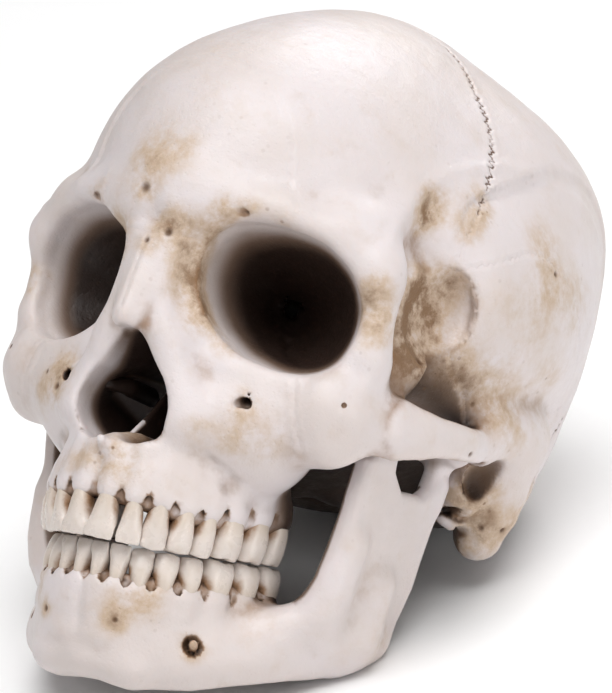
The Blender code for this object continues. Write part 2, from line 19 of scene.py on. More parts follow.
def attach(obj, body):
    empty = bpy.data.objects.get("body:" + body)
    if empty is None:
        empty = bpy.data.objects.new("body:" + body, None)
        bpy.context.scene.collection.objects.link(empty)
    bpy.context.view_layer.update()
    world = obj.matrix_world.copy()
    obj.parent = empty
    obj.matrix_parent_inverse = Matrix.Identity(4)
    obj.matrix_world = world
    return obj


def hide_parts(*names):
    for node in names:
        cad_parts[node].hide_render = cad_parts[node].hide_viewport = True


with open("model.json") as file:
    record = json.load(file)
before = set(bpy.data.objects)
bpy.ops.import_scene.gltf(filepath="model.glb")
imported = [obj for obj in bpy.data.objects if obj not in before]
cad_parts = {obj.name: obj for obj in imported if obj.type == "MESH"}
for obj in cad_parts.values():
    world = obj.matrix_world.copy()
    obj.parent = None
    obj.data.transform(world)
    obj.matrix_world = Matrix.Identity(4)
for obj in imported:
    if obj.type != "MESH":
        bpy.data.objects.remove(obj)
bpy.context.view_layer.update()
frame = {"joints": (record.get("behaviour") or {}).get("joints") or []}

# Placing the upright skull in the frame
MM = 0.001
LEAN = math.radians(31.736)
HINGE = np.array((0.0, -10.465, -8.512))  # the jaw hinge in the upright skull
hinge_world = np.array(frame["joints"][0]["pos_m"])

# Mesh grain, in millimetres
FACE_CELL = 1.12
JAW_CELL = 0.95
PLATE_CELL = 0.7
GROWING_CELLS = ((1, -40, 0.006), (2, 48, 0.009))  # axis, where cells start to grow, and how fast
MOST_GROWTH = 2.0
CRANIUM_BOX = ((-76, -112, -50), (76, 50, 104))
JAW_BOX = ((-68, -104, -98), (68, 6, 0))
MIDDLE_ROUNDING = 0.8  # how softly the mirrored halves meet

# Tooth rows, in millimetres: the outer curve of each row and its teeth from the middle out
ROW_CURVES = {"upper": (31.5, -48.0, 49.5), "lower": (30.0, -46.0, 46.6)}
ROW_SQUARENESS = 2.25
ROW_STEPS = 600
TOOTH_GAP = 0.7
TIGHTER = 0.56  # how much wider than its CAD peg a shaped crown is
WIDTHS = {
    "upper": (8.2, 6.4, 7.1, 6.55, 6.3, 9.5, 9.25, 8.1),
    "lower": (4.9, 5.5, 6.3, 6.7, 6.8, 10.4, 9.9, 9.4),
}
DEPTHS = (7.0, 6.5, 8.2, 9.0, 9.2, 10.9, 10.9, 9.9)
CROWNS = {
    "upper": (12.5, 12.1, 12.5, 11.8, 11.5, 11.6, 12.0, 12.0),
    "lower": (10.5, 10.5, 10.8, 10.4, 10.2, 9.9, 9.6, 9.2),
}
ROOTS = {
    "upper": (13.0, 12.5, 17.0, 13.0, 12.0, 11.0, 10.0, 8.0),
    "lower": (12.0, 12.0, 15.0, 13.0, 12.0, 11.0, 10.0, 8.0),
}
ROOT_SHARES = ((0.03, 0.5), (0.35, 0.5), (0.75, 0.42), (1, 0.34))  # depth, and radius of the swelling
ROOT_LEAN = 0.16  # how far a root leans inward for each millimetre of depth
ROOT_SET_BACK = 0.05
ROOT_COVER = 0.55
LEAST_SWELLING = 3.4
# The notch between two teeth: how far in, how far past the neck, and radius
NOTCH = ((0.3, -3.0, 1.3), (1.1, 0.6, 0.5))
NOTCH_BLEND = 1.2
UPPER_BITE = (-53.95, -53.95, -53.95, -53.7, -53.3, -52.4, -51.5, -50.6)
BITE_GAP = 0.7
NEARER_BITE = 0.18  # how much longer than its CAD peg a shaped crown is
KINDS = (
    "central_incisor", "lateral_incisor", "canine", "first_premolar", "second_premolar",
    "first_molar", "second_molar", "third_molar",
)


def to_world(points):
    """Points of the upright skull, in millimetres, as places in the frame, in metres."""
    x, y, z = (np.asarray(points, float) - HINGE).T
    cos, sin = math.cos(LEAN), math.sin(LEAN)
    return hinge_world + MM * np.stack([x, cos * y + sin * z, cos * z - sin * y], 1)


# Distance fields


def ramp(values):
    return np.clip(values, 0, 1)


FAR = 60.0  # in millimetres, over any distance that a blend asks for
RIM_STEPS = 180  # directions that a hole's rim is read in
RIM_SMOOTHING = 5  # steps to each side that a rim is smoothed over
SLOPE_STEP = 0.35  # in millimetres
NEAR_REACH = 3.0  # how far a field is exact for points close to its surface
CROSSED_SHARE = 1.35  # a cell is split where the surface is nearer than this share of its size
READ_SHARE = 1.9  # how far a field is exact when cells are tested, as a share of their size


def turn_matrix(degrees):
    """The rotation made by turns about x, then y, then z."""
    turned = np.eye(3)
    for axis, angle in enumerate(degrees):
        cos, sin = math.cos(math.radians(angle)), math.sin(math.radians(angle))
        after, last = (axis + 1) % 3, (axis + 2) % 3
        turn = np.eye(3)
        turn[after, after] = turn[last, last] = cos
        turn[last, after], turn[after, last] = sin, -sin
        turned = turn @ turned
    return turned.astype(np.float32)


class Ball:
    """An ellipsoid, squarer when its power is over 2."""

    def __init__(self, centre, radii, turn=(0, 0, 0), power=2.0):
        self.centre = np.array(centre, np.float32)
        self.radii = np.broadcast_to(np.array(radii, np.float32), 3)
        self.turn = turn_matrix(turn)
        self.power = power
        reach = (np.abs(self.turn) * self.radii).sum(1)
        self.low = self.centre - reach
        self.high = self.centre + reach

    def __call__(self, points, reach=FAR):
        away = np.abs((points - self.centre) @ self.turn / self.radii) + np.float32(1e-6)
        size = (away**self.power).sum(1) ** np.float32(1 / self.power)
        slope = (away / size[:, None]) ** (self.power - 1) / self.radii
        return (size - 1) / np.sqrt((slope * slope).sum(1))


class Rope:
    """Round cones end to end through (x, y, z, radius); flat is (direction, share)."""

    def __init__(self, beads, flat=None):
        beads = np.array(beads, np.float32)
        self.places = beads[:, :3]
        self.radii = beads[:, 3]
        self.flat = flat
        most = self.radii.max()
        self.low = self.places.min(0) - most
        self.high = self.places.max(0) + most

    def __call__(self, points, reach=FAR):
        nearest = None
        for index in range(len(self.places) - 1):
            start = self.places[index]
            run = self.places[index + 1] - start
            away = points - start
            share = ramp(away @ run / np.float32(run @ run))
            across = away - share[:, None] * run
            radius = self.radii[index] + (self.radii[index + 1] - self.radii[index]) * share
            thin = np.float32(1)
            if self.flat:
                way = np.array(self.flat[0], np.float32)
                thin = np.float32(self.flat[1])
                across = across + np.outer((across @ way) * (1 / thin - 1), way)
            gap = (np.sqrt((across * across).sum(1)) - radius) * min(thin, np.float32(1))
            nearest = gap if nearest is None else np.minimum(nearest, gap)
        return nearest


class Plate:
    """A flat plate with a side outline of (y, z) points, whose middle plane may lean out as it rises."""

    def __init__(self, outline, middle, half, rounding, slope=0.0):
        self.outline = np.array(outline, np.float32)
        self.middle = middle
        self.half = half
        self.rounding = rounding
        self.slope = slope
        planes = [middle + slope * z for _, z in outline]
        self.low = np.array((min(planes) - half, *self.outline.min(0)), np.float32)
        self.high = np.array((max(planes) + half, *self.outline.max(0)), np.float32)

    def __call__(self, points, reach=FAR):
        u, v = points[:, 1], points[:, 2]
        nearest = np.full(len(points), 1e9, np.float32)
        side = np.ones(len(points), np.float32)
        for here, before in zip(self.outline, np.roll(self.outline, 1, axis=0)):
            edge = before - here
            away_u, away_v = u - here[0], v - here[1]
            share = ramp((away_u * edge[0] + away_v * edge[1]) / (edge @ edge))
            gap_u, gap_v = away_u - edge[0] * share, away_v - edge[1] * share
            nearest = np.minimum(nearest, gap_u * gap_u + gap_v * gap_v)
            above, below = v >= here[1], v < before[1]
            left = edge[0] * away_v > edge[1] * away_u
            flips = (above & below & left) | (~above & ~below & ~left)
            side = np.where(flips, -side, side)
        outside = side * np.sqrt(nearest) + self.rounding
        middle = self.middle + self.slope * v
        beside = np.abs(points[:, 0] - middle) - self.half + self.rounding
        corner = np.hypot(np.maximum(outside, 0), np.maximum(beside, 0))
        return np.minimum(np.maximum(outside, beside), 0) + corner - self.rounding


class Funnel:
    """A hole through a rim of points in space, which narrows along its axis by a (depth, share) table."""

    def __init__(self, rim, centre, end, sizes):
        self.centre = np.array(centre, np.float32)
        ahead = np.array(end, float) - centre
        self.ahead = (ahead / np.linalg.norm(ahead)).astype(np.float32)
        beside = np.cross(self.ahead, (0, 0, 1))
        self.beside = (beside / np.linalg.norm(beside)).astype(np.float32)
        self.above = np.cross(self.beside, self.ahead)
        self.sizes = np.array(sizes, np.float32)
        depth, span, angle = self.seen_along(np.array(rim, np.float32))
        order = np.argsort(angle)
        turns = np.concatenate([angle[order] + 2 * np.pi * shift for shift in (-1, 0, 1)])
        self.angles = np.linspace(-np.pi, np.pi, RIM_STEPS + 1)
        whole = []
        for values in (span / np.interp(depth, *self.sizes.T), depth):
            line = np.interp(self.angles, turns, np.tile(values[order], 3))[:-1]
            shifts = range(-RIM_SMOOTHING, RIM_SMOOTHING + 1)
            smooth = sum(np.roll(line, shift) for shift in shifts) / len(shifts)
            whole.append(np.append(smooth, smooth[0]))
        self.radii, self.rim_depths = whole
        self.turning = np.gradient(self.radii, self.angles) / self.radii
        ends = [centre + self.ahead * depth for depth in self.sizes[[0, -2], 0]]
        wide = self.radii.max() * self.sizes[0, 1]
        self.low = np.minimum(ends[0] - wide, ends[1]).astype(np.float32)
        self.high = np.maximum(ends[0] + wide, ends[1]).astype(np.float32)

    def seen_along(self, points):
        """Depth, distance from the axis and angle round it."""
        away = points - self.centre
        across, rise = away @ self.beside, away @ self.above
        return away @ self.ahead, np.hypot(across, rise), np.arctan2(rise, across)

    def __call__(self, points, reach=FAR):
        depth, span, angle = self.seen_along(points)
        depths, shares = self.sizes.T
        size = np.interp(depth, depths, shares)
        narrowing = np.interp(depth, (depths[1:] + depths[:-1]) / 2, np.diff(shares) / np.diff(depths))
        radius = np.interp(angle, self.angles, self.radii)
        turning = np.interp(angle, self.angles, self.turning)
        return (span - radius * size) / np.sqrt(1 + turning**2 + (radius * narrowing) ** 2)

    def depth_shade(self, points, start, full, side_share):
        """How deep in the hole points on its wall are, for painted shade: 0 at start, 1 at full, later on
        its nasal side.
        """
        depth, _, angle = self.seen_along(points)
        deep = depth - np.interp(angle, self.angles, self.rim_depths)
        later = 1 + side_share * (1 - np.cos(angle)) / 2
        on_wall = ramp((2.5 - np.abs(self(points))) / 1.5)
        return on_wall * ramp((deep - start) / (full - start) / later)


class Field:
    """Shapes added to and cut from each other in order, each with the width of its blend."""

    def __init__(self, mirrored=True):
        self.steps = []
        self.mirrored = mirrored

    def add(self, shape, soft):
        self.steps.append((1, shape, soft))

    def cut(self, shape, soft):
        self.steps.append((-1, shape, soft))

    @property
    def low(self):
        corner = np.min([shape.low for _, shape, _ in self.steps], 0)
        return np.array((-self.high[0], *corner[1:]), np.float32)

    @property
    def high(self):
        return np.max([shape.high for _, shape, _ in self.steps], 0)

    def __call__(self, points, reach=FAR):
        places = points.astype(np.float32)
        if self.mirrored:
            places = np.column_stack([np.hypot(places[:, 0], MIDDLE_ROUNDING), places[:, 1:]])
        gap = np.full(len(places), FAR, np.float32)
        for sign, shape, soft in self.steps:
            margin = reach + soft
            near = np.flatnonzero(((places > shape.low - margin) & (places < shape.high + margin)).all(1))
            if len(near):
                found = shape(places[near], reach).astype(np.float32)
                gap[near] = sign * blend_least(sign * gap[near], found, soft)
        return gap


def blend_least(first, second, soft):
    """The smaller of two distances, rounded where they cross."""
    if soft <= 0:
        return np.minimum(first, second)
    near = np.maximum(soft - np.abs(first - second), 0) / soft
    return np.minimum(first, second) - near * near * (soft / 4)


def slope_of(field, points):
    """The field's gradient at points, by small steps along each axis."""
    slopes = []
    for axis in range(3):
        ahead, behind = points.copy(), points.copy()
        ahead[:, axis] += SLOPE_STEP
        behind[:, axis] -= SLOPE_STEP
        slopes.append((field(ahead, NEAR_REACH) - field(behind, NEAR_REACH)) / (2 * SLOPE_STEP))
    return np.stack(slopes, 1)


def settle(field, points, rounds=2, most=0.6):
    """Moves points onto the field's surface and returns them with their outward directions."""
    points = points.astype(np.float32)
    for _ in range(rounds):
        slope = slope_of(field, points)
        size = np.maximum((slope * slope).sum(1), 0.05)
        step = np.clip(field(points, NEAR_REACH) / size, -most, most)
        points = points - slope * step[:, None]
    slope = slope_of(field, points)
    return points, slope / np.maximum(np.linalg.norm(slope, axis=1), 1e-4)[:, None]


def surface_net(field, low, high, cell, warp=None, stretch=1.0, levels=3):
    """Vertices and quads of the field's surface, found by splitting only the cells that it crosses.

    The net's straight grid may be warped, and stretch is the most that this lengthens a cell.
    """
    warp = warp or (lambda places: places)
    low, high = np.array(low, float), np.array(high, float)
    size = cell * 2**levels
    counts = np.ceil((high - low) / size).astype(int)
    corners = np.array([(i, j, k) for i in (0, 1) for j in (0, 1) for k in (0, 1)])
    cells = np.stack(np.meshgrid(*map(np.arange, counts), indexing="ij"), -1).reshape(-1, 3)
    for _ in range(levels):
        centres = warp((low + (cells + 0.5) * size).astype(np.float32))
        reach = size * stretch
        crossed = np.abs(field(centres, READ_SHARE * reach)) < CROSSED_SHARE * reach
        cells = (cells[crossed][:, None, :] * 2 + corners).reshape(-1, 3)
        size /= 2
    shape = counts * 2**levels + 1
    used = np.zeros(shape, bool)
    for corner in corners:
        used[tuple((cells + corner).T)] = True
    values = np.full(shape, np.nan, np.float32)
    places = np.argwhere(used)
    values[used] = field(warp((low + places * cell).astype(np.float32)), READ_SHARE * cell * stretch)
    eight = np.stack([values[tuple((cells + corner).T)] for corner in corners], 1)
    inside = eight < 0
    active = inside.any(1) & ~inside.all(1)
    cells, eight = cells[active], eight[active]
    number = np.full(shape, -1, np.int32)
    number[tuple(cells.T)] = np.arange(len(cells))
    total, count = np.zeros((len(cells), 3)), np.zeros(len(cells))
    for first in range(8):
        for second in range(first + 1, 8):
            run = corners[second] - corners[first]
            if np.abs(run).sum() != 1:
                continue
            a, b = eight[:, first], eight[:, second]
            crosses = (a < 0) != (b < 0)
            share = np.where(crosses, a / np.where(crosses, a - b, 1), 0)
            total += np.where(crosses[:, None], corners[first] + share[:, None] * run, 0)
            count += crosses
    vertices = warp((low + (cells + total / count[:, None]) * cell).astype(np.float32))
    quads = []
    for axis in range(3):
        others = ((axis + 1) % 3, (axis + 2) % 3)
        before, after = [slice(None)] * 3, [slice(None)] * 3
        before[axis], after[axis] = slice(0, -1), slice(1, None)
        a, b = values[tuple(before)], values[tuple(after)]
        at = np.argwhere(((a < 0) != (b < 0)) & ~np.isnan(a) & ~np.isnan(b))
        at = at[(at[:, others[0]] > 0) & (at[:, others[1]] > 0)]
        leaving = a[tuple(at.T)] < 0
        ring = []
        for shift in ((0, 0), (1, 0), (1, 1), (0, 1)):
            cell_at = at.copy()
            cell_at[:, others[0]] -= shift[0]
            cell_at[:, others[1]] -= shift[1]
            ring.append(number[tuple(cell_at.T)])
        ring = np.stack(ring, 1)
        ring = np.where(leaving[:, None], ring, ring[:, ::-1])
        quads.append(ring[(ring >= 0).all(1)])
    return vertices, np.concatenate(quads)


def largest_body(vertices, faces):
    """Drops every loose part but the one with the most vertices."""
    label = np.arange(len(vertices))
    while True:
        least = label[faces].min(1)
        new = label.copy()
        for column in range(faces.shape[1]):
            np.minimum.at(new, faces[:, column], least)
        new = new[new]
        if (new == label).all():
            break
        label = new
    main = np.bincount(label).argmax()
    kept = label == main
    index = np.cumsum(kept) - 1
    return vertices[kept], index[faces[kept[faces].all(1)]]


class Noise:
    """Smooth random values in space, the same each run."""

    SIZE = 48

    def __init__(self, seed):
        self.values = np.random.default_rng(seed).random((self.SIZE,) * 3, np.float32) * 2 - 1

    def __call__(self, points, wavelength):
        scaled = points / wavelength + 500
        base = np.floor(scaled).astype(int)
        share = scaled - base
        share = share * share * (3 - 2 * share)
        total = 0
        for i in (0, 1):
            for j in (0, 1):
                for k in (0, 1):
                    at = (base + (i, j, k)) % self.SIZE
                    weight = 1
                    for axis, step in enumerate((i, j, k)):
                        weight = weight * (share[:, axis] if step else 1 - share[:, axis])
                    total = total + weight * self.values[tuple(at.T)]
        return total


noise = Noise(11)


# Tooth rows


def row_teeth(row):
    """Each tooth of a left row: number, place on the row's middle line, turn, width, depth and heights."""
    half_width, back, reach = ROW_CURVES[row]
    angles = np.linspace(0, math.pi / 2, ROW_STEPS)
    power = 2 / ROW_SQUARENESS
    x = np.append(half_width * np.sin(angles) ** power, half_width)
    y = np.append(back - reach * np.maximum(np.cos(angles), 0) ** power, back + reach)
    run = np.concatenate([[0], np.cumsum(np.hypot(np.diff(x), np.diff(y)))])
    along = TOOTH_GAP / 2
    teeth = []
    for number, width in enumerate(WIDTHS[row]):
        middle = along + width / 2
        along += width + TOOTH_GAP
        ahead = [np.interp(middle + TOOTH_GAP, run, line) for line in (x, y)]
        behind = [np.interp(middle - TOOTH_GAP, run, line) for line in (x, y)]
        turn = math.atan2(ahead[1] - behind[1], ahead[0] - behind[0])
        inward = np.array((-math.sin(turn), math.cos(turn)))
        place = np.array((np.interp(middle, run, x), np.interp(middle, run, y)))
        way, lower = (1, 0) if row == "upper" else (-1, BITE_GAP)
        bite = UPPER_BITE[number] - lower
        depth, crown = DEPTHS[number], CROWNS[row][number]
        tooth = {"number": number, "place": place + inward * depth / 2, "inward": inward, "turn": turn}
        tooth.update(width=width + TIGHTER, depth=depth, crown=crown, root=ROOTS[row][number])
        tooth.update(bite=bite, neck=bite + way * crown, way=way)
        teeth.append(tooth)
    return teeth


def add_alveolar_bone(field, row, blend):
    """The bone that holds a tooth row: a swelling round each root, and a notch between each pair."""
    teeth = row_teeth(row)
    for tooth in teeth:
        beads = []
        for depth_share, radius_share in ROOT_SHARES:
            rise = depth_share * tooth["root"] * tooth["way"]
            place = tooth["place"] + tooth["inward"] * (ROOT_SET_BACK + ROOT_LEAN * abs(rise))
            radius = max(radius_share * tooth["depth"] + ROOT_COVER, LEAST_SWELLING)
            beads.append((*place, tooth["neck"] + rise, radius))
        field.add(Rope(beads), blend)
    for first, second in zip([None] + teeth[:-1], teeth):
        if first is None:
            edge = np.array((0.0, second["place"][1] - second["depth"] / 2))
            inward = np.array((0.0, 1.0))
        else:
            middle = (first["place"] + second["place"]) / 2
            inward = first["inward"] + second["inward"]
            inward /= np.linalg.norm(inward)
            edge = middle - inward * (first["depth"] + second["depth"]) / 4
        neck, way = second["neck"], second["way"]
        notch = [(*(edge + inward * deep), neck + rise * way, radius) for deep, rise, radius in NOTCH]
        field.cut(Rope(notch), NOTCH_BLEND)


def add_tooth_masses(field, row):
    """Plain balls where the crowns are, which only the shading of crevices reads."""
    for side in (1, -1):
        for tooth in row_teeth(row):
            middle = (tooth["neck"] + tooth["bite"]) / 2
            radii = (tooth["width"] / 2, tooth["depth"] / 2, tooth["crown"] / 2 + 1)
            turn = (0, 0, side * math.degrees(tooth["turn"]))
            place = (side * tooth["place"][0], tooth["place"][1], middle)
            field.add(Ball(place, radii, turn, 3.0), 0)


# The cranium

# The outside of the braincase and its hollow: centre and radii of each ball, and the width of its blend
VAULT = (
    ((0, -3, 43), (55, 78, 69), 0), ((0, -1.5, 34), (71, 85.5, 50), 18),
    ((0, -42.5, 50.5), (45.3, 53.3, 43.5), 14), ((29, 22, 60), (32, 46, 34), 16),
    ((0, 43.5, 15.5), (51.5, 34, 41), 13), ((25, 33, 0), (28, 28, 25), 12),
)
BRAINCASE = (
    ((0, 6.4, 49.8), (50, 58.7, 54.9), 0), ((0, 10, 40), (63.2, 64.2, 40), 8),
    ((0, -41.9, 60.5), (39.7, 44.1, 31), 8), ((21.3, 17.3, 48.2), (37.6, 46.9, 40.9), 8),
    ((0, 36.4, 25.8), (49, 36.9, 42), 8),
)
# The cheek arch from the cheekbone back
ARCH_BEADS = (
    (47, -67, -9.5, 8.3), (52.5, -60, -10, 8.6), (58.5, -52, -10, 8.2), (62, -44, -9.5, 6.6),
    (63.5, -38, -8.8, 5.4), (64.5, -24, -7.8, 4.5), (61.5, -11, -6.5, 4.8), (57, -2, -4, 5.5),
)
# The rim of the left eye socket, from its nasal side over the top, and how it narrows with depth
ORBIT_RIM = (
    (14, -91, 16.5), (14.6, -92.4, 25.5), (19, -92, 32.5), (27, -88.5, 34.6), (37, -83.5, 34),
    (46, -76.5, 29.3), (50.5, -72.5, 23), (51.8, -69.5, 15), (51, -71, 7), (47.5, -73, 0.5),
    (41.5, -76, -2.2), (32, -80.3, -1.6), (22.5, -84.5, 2.2), (16.5, -88.5, 9),
)
ORBIT_SIZES = (
    (-25, 1.3), (-4, 1.06), (0, 1), (5, 1), (12, 0.92), (22, 0.72), (32, 0.47), (40, 0.22), (44, 0),
    (60, -0.6),
)
ORBIT = Funnel(ORBIT_RIM, (33, -82, 15.5), (14, -44, 17), ORBIT_SIZES)
# The nose's rim, left half from the top down
NOSE_HALF_RIM = (
    (0, -102, 2.6), (2.6, -99, 0.5), (4.8, -95, -3), (8.3, -92, -8), (12.5, -92.4, -13), (14.6, -92.6, -19),
    (12.9, -90, -25), (8, -88.5, -28.4), (3.6, -88, -28.4), (0.4, -87.5, -26.4),
)
NOSE_RIM = NOSE_HALF_RIM + tuple((-x, y, z) for x, y, z in NOSE_HALF_RIM)
NOSE_SIZES = ((-25, 1), (0, 1), (5, 1), (12, 0.94), (34, 0.8), (44, 0.5), (50, 0), (62, -0.8))
NOSE = Funnel(NOSE_RIM, (0, -92, -17), (0, -50, -17), NOSE_SIZES)
# Nerve holes, each a short run of beads into the bone
SKULL_HOLES = (
    ([(29, -87, -13.4, 1.3), (30.6, -82.5, -12.6, 1.5), (31, -79, -10.5, 1.2)], 0.8),
    ([(32.8, -85, -13.6, 0.9), (31, -81.5, -12.6, 1.3)], 0.8),
    ([(-21.5, -91, -13.6, 1.1), (-23.5, -85.5, -12.6, 1.4), (-24, -81, -10.5, 1.1)], 0.8),
    ([(55, -74, -8.5, 0.6), (52.5, -70.5, -7.5, 0.5)], 0.5),
    ([(-53, -75.5, -6, 0.6), (-51, -70.5, -5.5, 0.5)], 0.5),
    ([(22, -95, 34, 1), (23.5, -90.5, 35.5, 0.8)], 1.5),
    ([(-22, -95, 34, 1), (-23.5, -90.5, 35.5, 0.8)], 1.5),
)


def with_holes(half, holes):
    """A mirrored half as one field, with holes that may differ from side to side."""
    field = Field(mirrored=False)
    field.add(half, 0)
    for beads, soft in holes:
        field.cut(Rope(beads), soft)
    return field


def add_balls(field, table):
    for centre, radii, soft in table:
        field.add(Ball(centre, radii), soft)


def add_face(field):
    """Brow, orbit walls, cheekbones, upper jaw and nose."""
    field.add(Ball((0, -64, 2), (27, 29, 34)), 10)
    field.add(Ball((0, -88, 41), (16, 11, 10)), 8)
    brow = [(6, -91, 34, 6), (18, -88.5, 38, 5.5), (31, -83.5, 38, 4.5), (42, -76, 34.5, 4.2)]
    field.add(Rope(brow + [(51.5, -67.5, 27, 4.6)]), 6)
    field.add(Rope([(52.5, -66.5, 29, 4.8), (53.5, -64.5, 19, 4.8), (52.5, -64, 7, 6.2)]), 5)
    field.add(Rope([(52, -66, 28, 4.8), (48.5, -62, 39, 4.6), (46.5, -55, 49, 3.6)]), 9)
    field.add(Ball((42, -68, 38), (9, 8, 7)), 8)
    field.add(Rope([(50, -64, 3, 7), (48, -66, -9, 8.5), (47, -65, -17, 7)]), 6)
    field.add(Rope([(38, -70, -6, 6.5), (47, -67, -9, 7)]), 6)
    field.add(Rope(ARCH_BEADS, flat=((1, 0, 0), 0.64)), 7)
    field.add(Ball((46, -55, 15), (6.2, 19, 22), (0, 0, -38)), 6)
    field.add(Ball((22, -64, -14), (20, 20, 22)), 8)
    field.add(Rope([(14, -84, -20, 8), (26, -74, -16, 9), (40, -66, -12, 8)]), 8)
    field.add(Rope([(0, -82, -30, 5), (12, -74, -30, 6), (12, -56, -30, 5)]), 6)
    add_alveolar_bone(field, "upper", 3.5)
    field.add(Rope([(0, -92, 24, 5.5), (0, -95.8, 12, 5.2), (0, -98.2, 4, 4.4)]), 4)
    nasal = [(5, -90.5, 25, 5), (6.5, -91.2, 12, 5.2), (8, -91.5, 2, 5), (11.5, -89, -7, 4.6)]
    field.add(Rope(nasal + [(17, -86, -19, 5)]), 5)
    field.add(Rope([(20, -81, -3, 4), (30, -75.5, -5, 5), (40, -70, -5, 5)]), 4)
    field.add(Rope([(0, -92, -31, 3), (0, -98, -29, 1.4)]), 3)


def add_base(field):
    """The underside: body of the base, pterygoid plates, mastoids, ear ridges and back of the head."""
    field.add(Ball((0, -28, 2), (34, 26, 20)), 10)
    field.add(Ball((46, -2, 4), (14, 22, 14)), 8)
    field.add(Rope([(0, -36, -8, 10), (0, -10, -19, 8)]), 8)
    field.add(Rope([(14, -42, -12, 5), (15, -40, -30, 3)]), 4)
    field.add(Rope([(54, 14, -4, 12), (52.5, 17, -20, 9), (51, 18, -28, 7)]), 8)
    field.add(Rope([(60, -4, -1, 5), (60, 9, 0, 6.5), (57, 20, 2, 7)]), 8)
    field.add(Ball((44, 27, -12), (12, 15, 12)), 10)
    field.add(Ball((0, 73.3, -3.4), (9, 9, 6.6)), 8)
    field.add(Ball((14, 2, -23), (6, 10, 5)), 4)
    field.add(Ball((50, 5.5, -13.5), (8.5, 8, 11)), 3)
    field.add(Rope([(43, 6, -20, 3.0), (41.5, 4, -30, 1.3)]), 2.5)
    ear_ridge = [(46.5, 3.5, -21, 1.5), (46, 5.5, -25.5, 2.1), (48.5, 9, -27, 2.4), (52, 11.5, -24, 2)]
    field.add(Rope(ear_ridge), 1.2)


def cut_openings(field):
    """Cuts the braincase, eye sockets, nose, jaw sockets, ears and temples, and adds the nose's floor."""
    cavity = Field(mirrored=False)
    add_balls(cavity, BRAINCASE)
    field.cut(cavity, 2)
    field.cut(Rope([(0, 12, -50, 15), (0, 12, 10, 15)]), 3)
    field.cut(Ball((14.5, -94.5, 16), (5, 5.5, 11.5), (0, 0, 30)), 4)
    field.cut(ORBIT, 1.5)
    field.cut(Rope([(17, -50, 19, 2.2), (24, -51.5, 21, 1.6), (29, -56, 23.5, 0.9)]), 1)
    field.cut(Rope([(19, -50, 10, 1.6), (25, -57, 5.5, 1.6), (32, -63, 3.2, 1.1)]), 1)
    field.cut(NOSE, 1)
    field.cut(Rope([(6, -76, -16, 8), (6, -30, -18, 9)]), 3)
    field.add(Rope([(0, -90.5, -29.5, 3.2), (1.5, -83, -28.5, 3.8), (1, -72, -28.5, 3.2)]), 2.5)
    field.cut(Ball((50, -10.5, -10), (12, 7, 7)), 2)
    field.cut(Ball((60.5, 1.5, -14.5), (9, 4.4, 6.8), (8, 0, 0)), 1.4)
    field.cut(Rope([(53, 2, -24.5, 1.8), (45, 5.5, -22.5, 1.8)]), 0.8)
    field.cut(Rope([(56, 7.5, -28, 1.5), (45, 10.5, -29, 2.0)]), 0.8)
    field.cut(Ball((49.5, -44, -18.5), (8.5, 14, 18.5)), 3)
    field.cut(Ball((61, -46, 23.5), (8.7, 16.5, 15.5), (0, 0, 6)), 1.2)
    field.cut(Ball((59.5, -50.5, 51), (6.5, 8, 7), (0, 0, 20)), 2)


def cranium_field():
    """The whole cranium, mirrored but for its nerve holes."""
    half = Field()
    add_balls(half, VAULT)
    half.cut(Ball((66, -62, 22), (20, 26, 34)), 14)
    add_face(half)
    add_base(half)
    cut_openings(half)
    return with_holes(half, SKULL_HOLES)


# The jaw

# The side outline of the upright branch, as (y, z)
RAMUS_OUTLINE = (
    (-50, -62), (-51.5, -50), (-51, -40), (-52, -28), (-52, -19), (-47, -11), (-41, -8), (-37.5, -12),
    (-36, -19), (-30, -23.5), (-19, -23), (-11, -17), (-7, -18), (-8, -30), (-9, -48), (-12, -60),
    (-19, -69), (-30, -73), (-42, -70),
)
# The mental holes, one under each second premolar
JAW_HOLES = (
    ([(28, -78.3, -75.5, 2.5), (26, -74.8, -76, 2.5)], 0.8),
    ([(-27, -77.5, -75, 1.6), (-25.5, -74.8, -75.5, 1.6)], 0.8),
)
# The worn plug at the bottom of the left one
JAW_PLUG = [(25.6, -74.2, -76.1, 1.4), (26.7, -76.0, -75.7, 1.2)]


def mandible_field():
    """The whole jaw: base, chin, sockets, branches and condyles."""
    half = Field()
    base = [(0, -77, -81, 8), (11, -76, -82, 8), (22, -69, -80.5, 7), (33, -52, -75.5, 6.4)]
    half.add(Rope(base + [(41, -33, -70.5, 6), (45, -20, -64, 5)]), 5)
    body = [(0, -79, -75, 7), (13, -77, -76, 7), (23, -66, -74, 6.5), (33, -48, -69, 6.5)]
    half.add(Rope(body + [(41, -34, -65, 6)]), 6)
    half.add(Ball((0, -83, -83), (10, 6, 6)), 5)
    half.add(Ball((11, -81, -85), (6, 5, 4)), 5)
    add_alveolar_bone(half, "lower", 4)
    half.add(Plate(RAMUS_OUTLINE, 52.5, 2.9, 2.6, slope=0.115), 6)
    half.add(Rope([(50, -46, -42, 2.8), (47, -47, -54, 3.6), (40.5, -48, -63, 4.5), (35, -53, -67, 4)]), 8)
    half.add(Rope([(49.5, -28, -50, 3.6), (48.5, -30, -64, 4)]), 8)
    half.add(Rope([(49, -10.5, -24, 3.2), (50, -9.8, -12, 3.6)]), 3)
    half.add(Ball((50, -10.3, -9.2), (9.3, 4.7, 4.7)), 2)
    field = with_holes(half, JAW_HOLES)
    field.add(Rope(JAW_PLUG), 0.6)
    return field


# From field to object


def new_object(name, mesh):
    """An object in the scene that shows a mesh."""
    made = bpy.data.objects.new(name, mesh)
    bpy.context.scene.collection.objects.link(made)
    return made


def mesh_from(name, vertices, faces):
    mesh = bpy.data.meshes.new(name)
    mesh.from_pydata(vertices.tolist(), [], faces.tolist())
    mesh.update()
    return mesh


